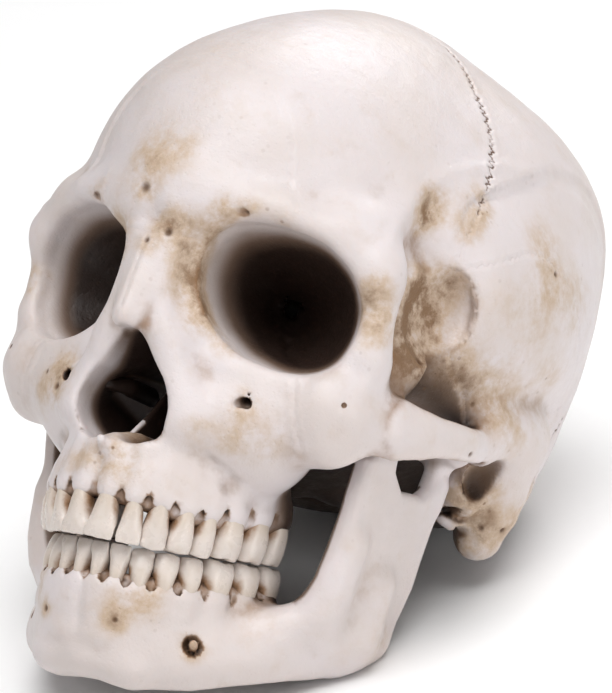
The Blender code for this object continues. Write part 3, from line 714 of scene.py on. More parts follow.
def mesh_points(mesh):
    points = np.empty(len(mesh.vertices) * 3, np.float32)
    mesh.vertices.foreach_get("co", points)
    return points.reshape(-1, 3)


def set_points(mesh, points):
    mesh.vertices.foreach_set("co", points.astype(np.float32).ravel())
    mesh.update()


def set_mask(mesh, name, values):
    """A named number on each point, which the materials read."""
    layer = mesh.attributes.new(name, "FLOAT", "POINT")
    layer.data.foreach_set("value", ramp(values).astype(np.float32))


def crevices(field, points, outward, distances):
    """How shut in each point is: 0 in the open, 1 at the bottom of a hole."""
    total = 0
    for distance in distances:
        free = field(points + outward * distance, distance + 2.0)
        total = total + np.clip(1 - free / distance, 0, 2)
    return total / len(distances)


def refine(mesh, wanted):
    """Splits in four the faces whose centres wanted() picks."""
    form = bmesh.new()
    form.from_mesh(mesh)
    picked = wanted(np.array([face.calc_center_median() for face in form.faces], np.float32))
    edges = {edge for face, chosen in zip(form.faces, picked) if chosen for edge in face.edges}
    bmesh.ops.subdivide_edges(form, edges=list(edges), cuts=1, use_grid_fill=True)
    bmesh.ops.triangulate(form, faces=[face for face in form.faces if len(face.verts) > 4])
    form.to_mesh(mesh)
    form.free()


def face_warp(places):
    """Keeps cells small at the face and lets them grow towards the back and the crown."""
    places = places.copy()
    for axis, start, growth in GROWING_CELLS:
        places[:, axis] += growth * np.maximum(places[:, axis] - start, 0) ** 2
    return places


# Seams and marks on the bone

SEAM_STEP = 0.18  # between the points of a seam
SEAM_WIDTH = 0.34
SEAM_REACH = 4.0  # how far from a seam its relief is worked out
SEAM_FADE = 6.0  # over which length its teeth grow from its end
LEAST_SWING = 0.15
LIP_PLACE, LIP_WIDTH, LIP_HEIGHT = 1.3, 0.7, 0.12  # the raised edge along a seam
DARKEST_DEPTH = 0.45
LINE_SMOOTHING = 5.0  # how far to each side a line on the bone is smoothed
RIDGE_STEP = 0.5
RIDGE_REACH, RIDGE_WIDTH, RIDGE_HEIGHT = 7.0, 1.9, 0.45
SWELLS = ((0.22, 0, 17.0), (0.12, 31, 7.0), (0.05, 57, 3.2))  # height, shift in the noise and wavelength
STAIN_GRAIN = (0.16, 11, 2.3)  # the same for the rough bone in stains
NOTHING_NEAR = 99.0  # the distance given where no point of a cloud is in reach
JAW_TOP = -50  # pits below this height are the jaw's
FINE_REACHES = ((2.4, 4.5), (1.0, 2.6))  # round seams and round spots, for each round of finer faces
# Distances read for the crease mask: brown dirt in fine furrows and painted shade, darkest beside the teeth
CREASE_DISTANCES = (0.7, 1.5, 3.0)
# Distances read for the hollow mask: painted shade deep in holes and recesses
HOLLOW_DISTANCES = (6.0, 12.0, 22.0)
# Painted shade in each hole: how deep its wall starts to darken and is darkest, and how much deeper on its
# nasal side
DEPTH_SHADES = ((ORBIT, 0.5, 14.0, 1.5), (NOSE, 1.5, 12.0, 0.0))
DEPTH_SHADE_STRENGTH = 1.1
# Each seam of the left side: points along it, how far its teeth swing, their period, and its depth
SEAMS = (
    (
        ((0, -12.5, 109), (15, -11.5, 107), (29.8, -10.9, 100.7), (41.6, -16, 89.4), (46.5, -17.5, 83.5),
         (50.6, -19.7, 77.6), (53.3, -21.5, 73.3), (58.3, -29.3, 61.3), (60.5, -35, 53)),
        1.1, 3.1, 0.5,
    ),
    (((60.5, -35, 53), (59.8, -38.8, 45), (58.8, -38.3, 40)), 0.4, 2.6, 0.15),
    (((0, -12.5, 110), (0, 10, 111), (0, 35, 105), (0, 55, 90), (0, 70, 68)), 1.6, 3.4, 0.5),
    (((0, 70, 68), (20, 71, 60), (38, 66, 42), (50, 54, 22), (57, 42, 6)), 2.0, 3.8, 0.5),
    (((57, 42, 6), (55, 37, -6), (51, 31, -17)), 0.8, 2.5, 0.4),
    (
        ((57, -37, 37), (62, -29, 40), (66.5, -13, 48), (69.5, 2, 47), (70, 14, 39), (66, 28, 25),
         (59, 41, 8)),
        0.45, 2.2, 0.13,
    ),
    (((0, -97, 26), (0, -100, 16), (0, -104, 6)), 0.1, 3.0, 0.12),
    (((0, -97.5, 26), (5, -95, 26.5), (11, -92, 27)), 0.3, 1.6, 0.1),
    (((39, -78, -1), (42, -76, -8), (44, -71, -20)), 0.35, 2.4, 0.06),
)
TEMPLE_RIDGE = (
    (56.2, -70.1, 35.7), (52.5, -61, 44), (50.9, -55.3, 50.8), (52.9, -51.3, 56.1), (54.5, -40.3, 63.6),
    (57.5, -22, 71), (60, 0, 73), (60, 24, 68), (56, 44, 54), (50, 56, 38),
)
# Pits and dents: x, y, z, radius and depth
PITS = (
    (-3, -99.9, 37.4, 1.5, 0.8), (5.6, -96.8, 26.9, 1.1, 0.7), (0.2, -97.5, 24, 0.8, 0.6),
    (5.2, -96.6, 16.2, 0.7, 0.7), (-4.8, -96.6, 15, 0.6, 0.6), (-9, -99, 42, 0.7, 0.5),
    (2, -100, 50, 0.6, 0.4), (-6, -99.5, 52, 0.8, 0.4), (9, -98.5, 46, 0.7, 0.4), (57, -40.5, 22, 1.2, 0.7),
    (58, -33, 12, 0.9, 0.6), (57, -44, 10, 1.3, 0.7), (60, -24, 20, 0.8, 0.5), (62, -26, 33, 0.9, 0.5),
    (59, -36, 42, 0.8, 0.5), (59.5, 16, -25.5, 0.9, 0.7), (60.5, 24, -22, 0.8, 0.6),
    (60.5, 33, -16, 1, 0.7), (55.5, 10.5, -26.5, 1, 0.7), (53, 10, -31, 1.2, 0.8),
    (57, 12.5, -21, 0.8, 0.6), (50.5, 12, -24.5, 1.3, 1), (17.6, -88.3, 10, 0.8, 0.7),
    (65.5, -15, 38, 0.7, 0.5), (69.6, -2, 45, 0.9, 0.6), (68.8, 6, 52, 0.7, 0.5), (64.5, -12, 20, 0.6, 0.4),
    (66.7, -24.7, -10.3, 0.8, 0.6), (60, -16, 4, 0.8, 0.5), (-12.4, -88.6, -74.2, 0.9, 0.6),
    (10.6, -89.6, -73.8, 0.7, 0.4), (10.4, -89.2, -63.3, 0.8, 0.6), (-26, -86.5, -16, 1, 0.5),
    (-33, -83, -12, 0.8, 0.4), (24, -86, -20, 0.9, 0.4), (-57.5, -40.5, 20, 1.2, 0.7),
    (-58, -30, 13, 0.9, 0.6), (-66, -10, 44, 0.9, 0.5),
)
# Brown stains, and under the base broad patches of painted shade: x, y, z, radius and strength
STAINS_AND_UNDERSIDE_SHADE = (
    (53.5, -48, 17, 9, 1), (53, -46, 26, 9, 1), (55.5, -40, 22, 8, 1), (57, -37.5, 31, 5, 0.9),
    (54.5, -50, 9, 7, 0.9), (57.5, -42, 4, 7, 0.8), (57.5, -35, 9, 10, 0.7), (59, -24, 6, 9, 0.55),
    (60.5, -14, 6, 9, 0.5), (64.5, -3, 3.5, 8, 0.35), (53.7, -48.7, 50.5, 6, 0.75), (52.5, -51, 46, 4, 0.7),
    (60.3, -34, 55.5, 6, 0.6), (59.5, -38, 48, 5, 0.4), (67.5, -7, 51, 9, 0.35), (70.5, -4, 40, 9, 0.38),
    (69.5, 12, 42, 10, 0.3), (70, -14, 30, 12, 0.16), (68, 8, 12, 20, 0.22), (64, -22, 30, 12, 0.14),
    (17, -88, 19, 8, 0.85), (18, -85, 10, 7, 0.75), (18, -90.5, 28, 6, 0.55), (24, -82.5, 4, 6, 0.5),
    (12, -93, 24, 6, 0.6), (12.6, -91.5, 15, 6, 0.55), (16.5, -88.5, 8, 5, 0.4),
    (19.5, -95, 34.5, 4.5, 0.6), (26, -92.5, 36.5, 4, 0.45), (34, -86, 35, 4, 0.3),
    (54.8, -70.5, 24, 5, 0.5), (56.3, -67.8, 16, 6, 0.6), (53, -70, 19, 4, 0.4), (55, -67, 8, 4, 0.4),
    (-2.3, -100.4, 44.6, 7, 0.42), (5.5, -99.4, 50.2, 7, 0.34), (-8, -99.5, 50, 7, 0.3),
    (0, -99.5, 58, 8, 0.16), (-3, -99.9, 36.4, 4, 0.55), (3.5, -97.5, 28, 4, 0.5), (8, -97.5, 29, 5, 0.6),
    (0.6, -98.5, 22.5, 3, 0.4), (-26, -85.5, -12.5, 7, 0.6), (-33, -82, -17, 7, 0.35),
    (-20, -88, -17, 6, 0.3), (1.5, -93.5, -32.5, 4.5, 0.7), (4, -93.6, -38, 4.5, 0.65),
    (-6, -93, -35, 5, 0.45), (9, -93.6, -34, 5, 0.4), (-14, -90, -36, 6, 0.3),
    (30.7, -83.7, -12.7, 4.5, 0.6), (36, -79, -20.5, 8, 0.3), (22, -88, -22, 6, 0.28),
    (29, -82, -23, 5, 0.3), (1, -86, -26.5, 4.5, 0.85), (5, -82, -26, 4, 0.5),
    (11.5, -89.3, -69.5, 6, 0.45), (18.3, -86.3, -66, 6, 0.5), (26.5, -76, -76.5, 4, 0.6),
    (-12.4, -88.6, -74.2, 3, 0.55), (10.6, -89.6, -74.5, 3.5, 0.5), (34, -62, -66, 8, 0.25),
    (53, 4, -17, 8, 0.75), (55.5, 11, -24, 7, 0.5), (52, 14, -31, 7, 0.5), (59.5, 20, -23, 6, 0.45),
    (60, 31, -15, 8, 0.4), (54, 26, -12, 9, 0.25), (45, -78, -2, 4, 0.2), (-55.4, -41, 28, 11, 0.85),
    (-56.5, -34, 12, 12, 0.75), (-53.7, -50, 49, 6, 0.6), (-68, -6, 46, 12, 0.32), (-66, 14, 12, 18, 0.24),
    (-13, -92.5, 24, 8, 0.7), (-14.5, -90, 12, 5, 0.4), (-24, -94, 34.5, 6, 0.35), (-55, -68, 14, 6, 0.45),
    (-20, -86, -66, 8, 0.35), (-34, -60, -67, 8, 0.25), (-54, 4, -17, 9, 0.6), (-54, 24, -16, 11, 0.4),
    (0, 74, 66, 13, 0.28), (22, 77, 30, 16, 0.22), (-30, 72, 34, 15, 0.26), (0, 82, 12, 14, 0.38),
    # Broad patches under the base, at z from -14 to -24, are painted shade
    (28, 8, 105, 13, 0.14), (-22, 22, 106, 16, 0.18), (0, -14, 109, 8, 0.22), (34, 60, -14, 16, 0.32),
    (-34, 60, -14, 16, 0.32), (0, 40, -20, 22, 0.5), (0, -20, -24, 16, 0.6), (50, -26, -64, 10, 0.22),
    (-50, -26, -64, 10, 0.24), (47.5, -36, -50, 9, 0.12), (-47.5, -36, -50, 9, 0.14),
)


def laid_along(field, path, step):
    """A smooth line of points on the surface, a step apart."""
    path = np.array(path, float)
    run = np.concatenate([[0], np.cumsum(np.linalg.norm(np.diff(path, axis=0), axis=1))])
    along = np.linspace(0, run[-1], max(int(run[-1] / step), 2))
    points = np.stack([np.interp(along, run, column) for column in path.T], 1)
    window = max(int(LINE_SMOOTHING / step), 1)
    padded = np.concatenate([np.repeat(points[:1], window, 0), points, np.repeat(points[-1:], window, 0)])
    sums = np.cumsum(np.concatenate([np.zeros((1, 3)), padded]), axis=0)
    smooth = (sums[2 * window + 1 :] - sums[: -2 * window - 1]) / (2 * window + 1)
    share = ramp(np.minimum(along, along[-1] - along) / LINE_SMOOTHING)[:, None]
    points = points + (smooth[: len(points)] - points) * share
    return settle(field, points, rounds=8, most=2.5)


def swung(along, period, draw):
    """A wandering zigzag between -1 and 1."""
    line = np.stack([along, along * 0 + draw, along * 0], 1)
    phase = along / period + 0.45 * noise(line, 4.0)
    wide = 2 / np.pi * np.arcsin(np.sin(2 * np.pi * phase))
    fine = 2 / np.pi * np.arcsin(np.sin(2 * np.pi * phase * 2.7 + 1.3))
    return wide * (0.7 + 0.4 * noise(line + 9, 7.0)) + 0.35 * fine


def seam_lines(field):
    """The zigzag seams of both sides as one cloud of points, with each point's depth."""
    clouds, depths = [], []
    for draw, (path, swing, period, depth) in enumerate(SEAMS):
        for side in (1, -1):
            path_here = [(x * side, y, z) for x, y, z in path]
            if side == -1 and max(abs(x) for x, _, _ in path) == 0:
                continue
            points, outward = laid_along(field, path_here, SEAM_STEP)
            ahead = np.gradient(points, axis=0)
            ahead /= np.linalg.norm(ahead, axis=1)[:, None] + 1e-6
            beside = np.cross(outward, ahead)
            along = SEAM_STEP * np.arange(len(points))
            fade = np.clip(np.minimum(along, along[-1] - along) / SEAM_FADE, LEAST_SWING, 1)
            sway = swing * fade * swung(along, period, 7.0 * draw + 3 * side)
            clouds.append(points + beside * sway[:, None])
            depths.append(np.full(len(points), depth))
    return np.concatenate(clouds), np.concatenate(depths)


def nearest_in(cloud, points, reach):
    """Distance to the nearest point of a cloud and its number, for points within reach."""
    tree = KDTree(len(cloud))
    for index, place in enumerate(cloud):
        tree.insert(place, index)
    tree.balance()
    near = (-1, 0, 1)
    boxes = {tuple(key) for key in np.floor(cloud / reach).astype(int)}
    near_boxes = {(i + a, j + b, k + c) for i, j, k in boxes for a in near for b in near for c in near}
    keys = np.floor(points / reach).astype(int)
    gap = np.full(len(points), NOTHING_NEAR, np.float32)
    number = np.zeros(len(points), int)
    for index, key in enumerate(map(tuple, keys)):
        if key in near_boxes:
            _, number[index], gap[index] = tree.find(points[index])
    return gap, number


def relief(points, seams, ridge):
    """How far each point moves out, in millimetres, and the masks that go with it."""
    cloud, depths = seams
    gap, number = nearest_in(cloud, points, SEAM_REACH)
    broken = np.clip(0.75 + 0.6 * noise(points, 2.2), 0.25, 1)
    line = np.exp(-((gap / SEAM_WIDTH) ** 2)) * broken
    lift = -line * depths[number]
    lift += LIP_HEIGHT * np.exp(-(((gap - LIP_PLACE) / LIP_WIDTH) ** 2))
    ridge_gap, _ = nearest_in(ridge, points, RIDGE_REACH)
    lift += RIDGE_HEIGHT * np.exp(-((ridge_gap / RIDGE_WIDTH) ** 2))
    lift += sum(height * noise(points + shift, wavelength) for height, shift, wavelength in SWELLS)
    dark = line * ramp(depths[number] / DARKEST_DEPTH)
    for *place, radius, depth in PITS:
        away = ((points - place) ** 2).sum(1)
        dent = np.exp(-away / radius**2)
        lift -= depth * dent
        dark = np.maximum(dark, 0.8 * dent**0.7)
    # Brown stains, with painted shade where the broad patches lie under the base
    stain_and_shade = np.zeros(len(points))
    for *place, radius, strength in STAINS_AND_UNDERSIDE_SHADE:
        away = ((points - place) ** 2).sum(1)
        patch = strength * np.exp(-away / radius**2)
        stain_and_shade = stain_and_shade + patch * (1 - stain_and_shade)
    height, shift, wavelength = STAIN_GRAIN
    lift += ramp(stain_and_shade * 1.4) * height * noise(points + shift, wavelength)
    return lift, dark, stain_and_shade


def underside(folded, sideways):
    """Painted shade under the base of the skull and on the inner faces of the jaw."""
    x, y, z = folded.T
    under = ramp((1 - z) / 10) * ramp((48 - x) / 6) * ramp((y + 62) / 10) * (z > -45)
    inner = ramp((-sideways - 0.15) / 0.35) * ramp((x - 20) / 12) * ramp((y + 66) / 16)
    return np.maximum(0.85 * under, 0.75 * inner * (z < -20))


def finish_bone(name, field, with_teeth, net, seams, ridge, fine_spots):
    """Refines the mesh near seams and holes, settles it, gives it its relief and its masks."""
    mesh = mesh_from(name, *largest_body(*net))
    spots = np.array(fine_spots, np.float32)
    for reach, spot_reach in FINE_REACHES:

        def wanted(centres):
            gap, _ = nearest_in(seams[0], centres, SEAM_REACH)
            chosen = gap < reach
            for spot in spots:
                chosen |= ((centres - spot) ** 2).sum(1) < spot_reach**2
            return chosen

        refine(mesh, wanted)
    points, outward = settle(field, mesh_points(mesh))
    lift, dark, stain_and_shade = relief(points, seams, ridge)
    # Brown dirt and painted shade in fine crevices and where bone meets a tooth
    crease_dirt_and_shade = crevices(with_teeth, points, outward, CREASE_DISTANCES)
    # Painted shade deep in holes and recesses
    hollow_shade = crevices(with_teeth, points, outward, HOLLOW_DISTANCES)
    folded = points.astype(float)
    folded[:, 0] = np.abs(folded[:, 0])
    # Painted shade that deepens into the eye sockets and nose
    for hole, start, full, side_share in DEPTH_SHADES:
        hollow_shade = np.maximum(hollow_shade, DEPTH_SHADE_STRENGTH * hole.depth_shade(folded, start, full, side_share))
    # Painted shade under the base and on the jaw's inner faces
    hollow_shade = np.maximum(hollow_shade, underside(folded, outward[:, 0] * np.sign(points[:, 0])))
    for mask, values in (("crease_dirt_and_shade", crease_dirt_and_shade), ("hollow_shade", hollow_shade), ("dark", dark), ("stain_and_shade", stain_and_shade)):
        set_mask(mesh, mask, values)
    places = to_world(points + outward * lift[:, None])
    places[:, 2] = np.maximum(places[:, 2], 0)
    set_points(mesh, places)
    return new_object(name, mesh)


def build_cranium():
    field, with_teeth = cranium_field(), cranium_field()
    net = surface_net(field, *CRANIUM_BOX, FACE_CELL, face_warp, MOST_GROWTH)
    add_tooth_masses(with_teeth, "upper")
    seams = seam_lines(field)
    ridges = [[(x * side, y, z) for x, y, z in TEMPLE_RIDGE] for side in (1, -1)]
    ridge = np.concatenate([laid_along(field, path, RIDGE_STEP)[0] for path in ridges])
    spots = [beads[0][:3] for beads, _ in SKULL_HOLES] + [pit[:3] for pit in PITS if pit[2] > JAW_TOP]
    return finish_bone("cranium_bone", field, with_teeth, net, seams, ridge, spots)


def build_mandible():
    """The jaw, which has no seam and no ridge: theirs lie far away."""
    field, with_teeth = mandible_field(), mandible_field()
    net = surface_net(field, *JAW_BOX, JAW_CELL)
    add_tooth_masses(with_teeth, "lower")
    away = np.full((1, 3), 500.0)
    spots = [beads[0][:3] for beads, _ in JAW_HOLES] + [pit[:3] for pit in PITS if pit[2] < JAW_TOP]
    return finish_bone("mandible_bone", field, with_teeth, net, (away, np.zeros(1)), away, spots)


# Teeth

# Rows of (height, width, labial, lingual): height 0 at the neck and 1 at the biting edge, -1 at the
# root's tip; width and the two depths are shares of the tooth's own, from its middle line.
INCISOR_PROFILE = (
    (-1, 0.16, 0.1, 0.12), (-0.8, 0.34, 0.22, 0.26), (-0.4, 0.56, 0.36, 0.4), (0, 0.57, 0.44, 0.46),
    (0.1, 0.63, 0.49, 0.48), (0.3, 0.75, 0.52, 0.38), (0.55, 0.88, 0.49, 0.16), (0.78, 1, 0.44, -0.06),
    (0.93, 0.99, 0.39, -0.15), (1, 0.93, 0.34, -0.17),
)
CANINE_PROFILE = (
    (-1, 0.2, 0.12, 0.14), (-0.8, 0.4, 0.26, 0.3), (-0.4, 0.62, 0.42, 0.42), (0, 0.58, 0.46, 0.48),
    (0.12, 0.67, 0.51, 0.48), (0.35, 0.83, 0.53, 0.4), (0.6, 1, 0.5, 0.22), (0.8, 0.99, 0.42, 0.04),
    (0.93, 0.95, 0.34, -0.06), (1, 0.84, 0.28, -0.1),
)
PREMOLAR_PROFILE = (
    (-1, 0.24, 0.16, 0.16), (-0.8, 0.46, 0.3, 0.3), (-0.4, 0.66, 0.42, 0.42), (0, 0.58, 0.46, 0.46),
    (0.12, 0.68, 0.51, 0.5), (0.4, 0.88, 0.54, 0.52), (0.7, 1, 0.49, 0.49), (0.88, 0.98, 0.42, 0.42),
    (0.97, 0.93, 0.35, 0.35),
)
MOLAR_PROFILE = (
    (-1, 0.3, 0.2, 0.2), (-0.8, 0.56, 0.34, 0.34), (-0.4, 0.76, 0.44, 0.44), (0, 0.69, 0.46, 0.46),
    (0.12, 0.77, 0.51, 0.49), (0.4, 0.92, 0.53, 0.51), (0.7, 1, 0.5, 0.49), (0.88, 0.95, 0.44, 0.44),
    (0.97, 0.88, 0.37, 0.38),
)
PROFILES = (
    (INCISOR_PROFILE,) * 2 + (CANINE_PROFILE,) + (PREMOLAR_PROFILE,) * 2 + (MOLAR_PROFILE,) * 3
)
AROUND = 28  # points in a ring
RINGS = 22
CAP_RINGS = (0.82, 0.6, 0.38, 0.18)
FRONT_SQUARENESS, BACK_SQUARENESS = 2.2, 2.7
LINGUAL_TAPER = 0.12
ROOT_SHARE = 0.55  # how much of its CAD peg's root a shaped tooth has
CUSP_START, CUSP_SPAN = 0.6, 0.4  # shares of the crown's height
TOOTH_LEAN, TOOTH_TWIST = 1.3, 2.0  # usual sizes of the random turns, in degrees


def cusp_height(number, x, y):
    """How far the biting surface rises over its plane, in shares of the crown's height."""
    if number < 2:
        return 0.006 * np.cos(x * 9)
    if number == 2:
        return 0.02 - 0.05 * np.abs(x)
    groove = np.exp(-((y / 0.16) ** 2))
    if number < 5:
        cusps = np.exp(-((x / 0.6) ** 2)) * (1 - 0.35 * (y > 0))
        return 0.04 * cusps * (1 - groove) - 0.10 * groove
    cross = np.exp(-((x / 0.17) ** 2))
    pit = np.maximum(groove, 0.8 * cross)
    return 0.03 * (1 - pit) - 0.10 * pit


def tooth_surface(tooth, draw):
    """Points and faces of one tooth, standing on its neck at the origin with its root at -z."""
    number = tooth["number"]
    profile = np.array(PROFILES[number])
    steps = np.interp(np.linspace(0, 1, RINGS), np.linspace(0, 1, len(profile)), profile[:, 0])
    power = 2 / (FRONT_SQUARENESS if number < 3 else BACK_SQUARENESS)
    angles = 2 * np.pi * (np.arange(AROUND) + 0.5) / AROUND
    across = np.sign(np.cos(angles)) * np.abs(np.cos(angles)) ** power
    through = np.sign(np.sin(angles)) * np.abs(np.sin(angles)) ** power
    rings = []
    for step in steps:
        width, front, rear = (np.interp(step, profile[:, 0], profile[:, column]) for column in (1, 2, 3))
        taper = 1 - LINGUAL_TAPER * (through + 1) / 2
        x = across * width / 2 * taper
        y = np.where(through < 0, through * front, through * rear)
        if rear < 0:
            middle = -(front - rear) / 2
            y = middle + through * (front + rear) / 2
        z = np.full(AROUND, step * (1.0 if step > 0 else tooth["root"] * ROOT_SHARE / tooth["crown"]))
        z = z + (step > CUSP_START) * (step - CUSP_START) / CUSP_SPAN * cusp_height(number, x * 2, y * 2)
        rings.append(np.stack([x, y, z], 1))
    last = rings[-1]
    middle = last[:, :2].mean(0)
    for share in CAP_RINGS:
        flat = middle + (last[:, :2] - middle) * share
        rise = profile[-1][0] + cusp_height(number, flat[:, 0] * 2, flat[:, 1] * 2)
        rise = rise + 0.012 * (1 - share) * (number < 3)
        rings.append(np.column_stack([flat, rise]))
    points = np.concatenate(rings)
    tip, root = (*middle, rings[-1][:, 2].mean()), (0, 0, rings[0][0][2])
    points = np.concatenate([points, [tip, root]])
    points *= (tooth["width"], tooth["depth"], tooth["crown"] + NEARER_BITE)
    faces = []
    end = (len(rings) - 1) * AROUND
    around = [(place, (place + 1) % AROUND) for place in range(AROUND)]
    for row in range(0, end, AROUND):
        above = row + AROUND
        faces += [(row + here, row + after, above + after, above + here) for here, after in around]
    top, bottom = len(points) - 2, len(points) - 1
    for here, after in around:
        faces += [(end + here, end + after, top), (after, here, bottom)]
    points[:, :2] += 0.1 * np.stack([noise(points + draw, 3.1), noise(points - draw, 2.7)], 1)
    return points, faces


def build_tooth(row, side, tooth):
    """A shaped tooth in its place, with masks for its neck and its shut-in sides, which carry stain and
    painted shade.
    """
    name = f"{row}_{side}_{KINDS[tooth['number']]}"
    random = np.random.default_rng(sum(map(ord, name)))
    points, faces = tooth_surface(tooth, random.uniform(0, 90, 3))
    lean = turn_matrix((*random.normal(0, TOOTH_LEAN, 2), random.normal(0, TOOTH_TWIST))).astype(float)
    points = points @ lean.T
    across, through, rise = points.T
    cos, sin = math.cos(tooth["turn"]), math.sin(tooth["turn"])
    x = cos * across - sin * through + tooth["place"][0]
    y = sin * across + cos * through + tooth["place"][1]
    z = (-rise if row == "upper" else rise) + tooth["neck"]
    if (row == "upper") != (side == "right"):
        faces = [face[::-1] for face in faces]
    mesh = bpy.data.meshes.new(name + "_crown")
    mesh.from_pydata(to_world(np.stack([-x if side == "right" else x, y, z], 1)).tolist(), [], faces)
    set_mask(mesh, "rise", rise / tooth["crown"])
    set_mask(mesh, "side", np.abs(across) / (tooth["width"] / 2))
    made = new_object(name + "_crown", mesh)
    smooth = made.modifiers.new("Round", "SUBSURF")
    smooth.levels = smooth.render_levels = 1
    return made


# Thin plates inside the nose

SEPTUM_OUTLINE = (
    (-90, -29), (-85, -24), (-78, -18), (-70, -9), (-78, -1), (-90, 5), (-76, 10), (-60, -2), (-60, -26),
    (-73, -31),
)


def nose_object(name, mesh, points, hollow_shade):
    set_points(mesh, to_world(points))
    # Each nose plate gets painted shade: a little in its creases and most of it deep
    set_mask(mesh, "crease_dirt_and_shade", np.full(len(points), 0.2))
    set_mask(mesh, "hollow_shade", hollow_shade)
    return new_object(name, mesh)


def build_septum():
    """The thin middle wall, whose notched front edge ends on a light crest; the rest of it is painted
    shade.
    """
    field = Field(mirrored=False)
    field.add(Plate(SEPTUM_OUTLINE, 0.0, 0.8, 0.7), 0)
    field.add(Rope([(0, -90, -29, 1.6), (0, -66, -28, 1.6)]), 2)
    vertices, quads = surface_net(field, (-4, -100, -36), (4, -56, 14), PLATE_CELL, levels=2)
    mesh = mesh_from("septum_plate", *largest_body(vertices, quads))
    points = settle(field, mesh_points(mesh))[0].astype(float)
    points[:, 0] += 0.6 * noise(points * (0, 1, 1), 13.0)
    from_crest = points[:, 1] + 85 - 1.2 * (points[:, 2] + 24)
    # Painted shade over the whole plate but its crest
    hollow_shade = np.where(points[:, 2] < -21, ramp((from_crest + 0.5) / 2.5), 1)
    return nose_object("septum_plate", mesh, points, hollow_shade)


def build_concha(side):
    """A scroll of thin bone: a curled rope with a channel cut under its lip, all painted shade."""
    field = Field(mirrored=False)
    scroll = [(12.5, -82, -13, 1.8), (10.5, -76, -12.5, 2.8), (10.5, -66, -13, 2.9), (12, -60, -14, 1.8)]
    field.add(Rope(scroll), 1)
    field.cut(Rope([(11.5, -84, -16, 1.8), (12, -58, -16.5, 2.2)]), 1)
    vertices, quads = surface_net(field, (4, -90, -20), (18, -52, -6), PLATE_CELL, levels=2)
    mesh = mesh_from(f"concha_scroll_{side}", *largest_body(vertices, quads))
    points, _ = settle(field, mesh_points(mesh))
    if side == "right":
        points = points * (-1, 1, 1)
        mesh.flip_normals()
    return nose_object(f"concha_scroll_{side}", mesh, points, np.ones(len(points)))


# Finishes, with painted shade on bone and teeth


class Nodes:
    """Short calls for wiring a material's nodes."""

    def __init__(self, name):
        self.material = bpy.data.materials.new(name)
        self.material.use_nodes = True
        self.tree = self.material.node_tree
        self.shader = self.tree.nodes["Principled BSDF"]
        self.place = self.add("ShaderNodeTexCoord").outputs["Object"]

    def add(self, kind, settings=None, **sockets):
        """A node with its settings, and with values or links for its sockets."""
        made = self.tree.nodes.new(kind)
        for key, value in (settings or {}).items():
            setattr(made, key, value)
        for key, value in sockets.items():
            self.put(made.inputs[key], value)
        return made

    def put(self, socket, value):
        if hasattr(value, "is_linked"):
            self.tree.links.new(value, socket)
        else:
            socket.default_value = value

    def math(self, operation, first, second):
        made = self.add("ShaderNodeMath", {"operation": operation})
        for socket, value in zip(made.inputs, (first, second)):
            self.put(socket, value)
        return made.outputs[0]

    def times(self, first, second):
        return self.math("MULTIPLY", first, second)

    def noise(self, wavelength, detail=3.0, roughness=0.55):
        """Noise between 0 and 1 with its main wavelength in millimetres."""
        sizes = {"Scale": 1000 / wavelength, "Detail": detail, "Roughness": roughness}
        return self.add("ShaderNodeTexNoise", Vector=self.place, **sizes).outputs["Fac"]

    def cells(self, wavelength):
        made = self.add("ShaderNodeTexVoronoi", Vector=self.place, Scale=1000 / wavelength)
        return made.outputs["Distance"]

    def mask(self, name):
        return self.add("ShaderNodeAttribute", {"attribute_name": name}).outputs["Fac"]

    def span(self, value, low, high, to_low=0.0, to_high=1.0):
        """A value from low to high brought to the span from to_low to to_high, with soft ends."""
        made = self.add("ShaderNodeMapRange", {"interpolation_type": "SMOOTHSTEP"})
        for socket, number in zip(made.inputs, (value, low, high, to_low, to_high)):
            self.put(socket, number)
        return made.outputs["Result"]

    def mix(self, share, first, second):
        made = self.add("ShaderNodeMix", {"data_type": "RGBA"}, Factor=share, A=first, B=second)
        return made.outputs["Result"]

    def wash(self, base, value, low, high, most, tint):
        """A tint laid over a colour where a value rises from low to high, up to a share of most."""
        return self.mix(self.span(value, low, high, 0.0, most), base, colour(*tint))

    def bump(self, height, distance, strength, under=None):
        made = self.add("ShaderNodeBump", Strength=strength, Distance=distance, Height=height)
        if under is not None:
            self.put(made.inputs["Normal"], under)
        return made.outputs["Normal"]

    def shaded(self, values):
        """The material, with values or links for its shader."""
        for key, value in values.items():
            self.put(self.shader.inputs[key], value)
        return self.material


def colour(red, green, blue):
    """A colour from values between 0 and 255 as a screen shows them."""
    return (*((value / 255) ** 2.2 for value in (red, green, blue)), 1.0)


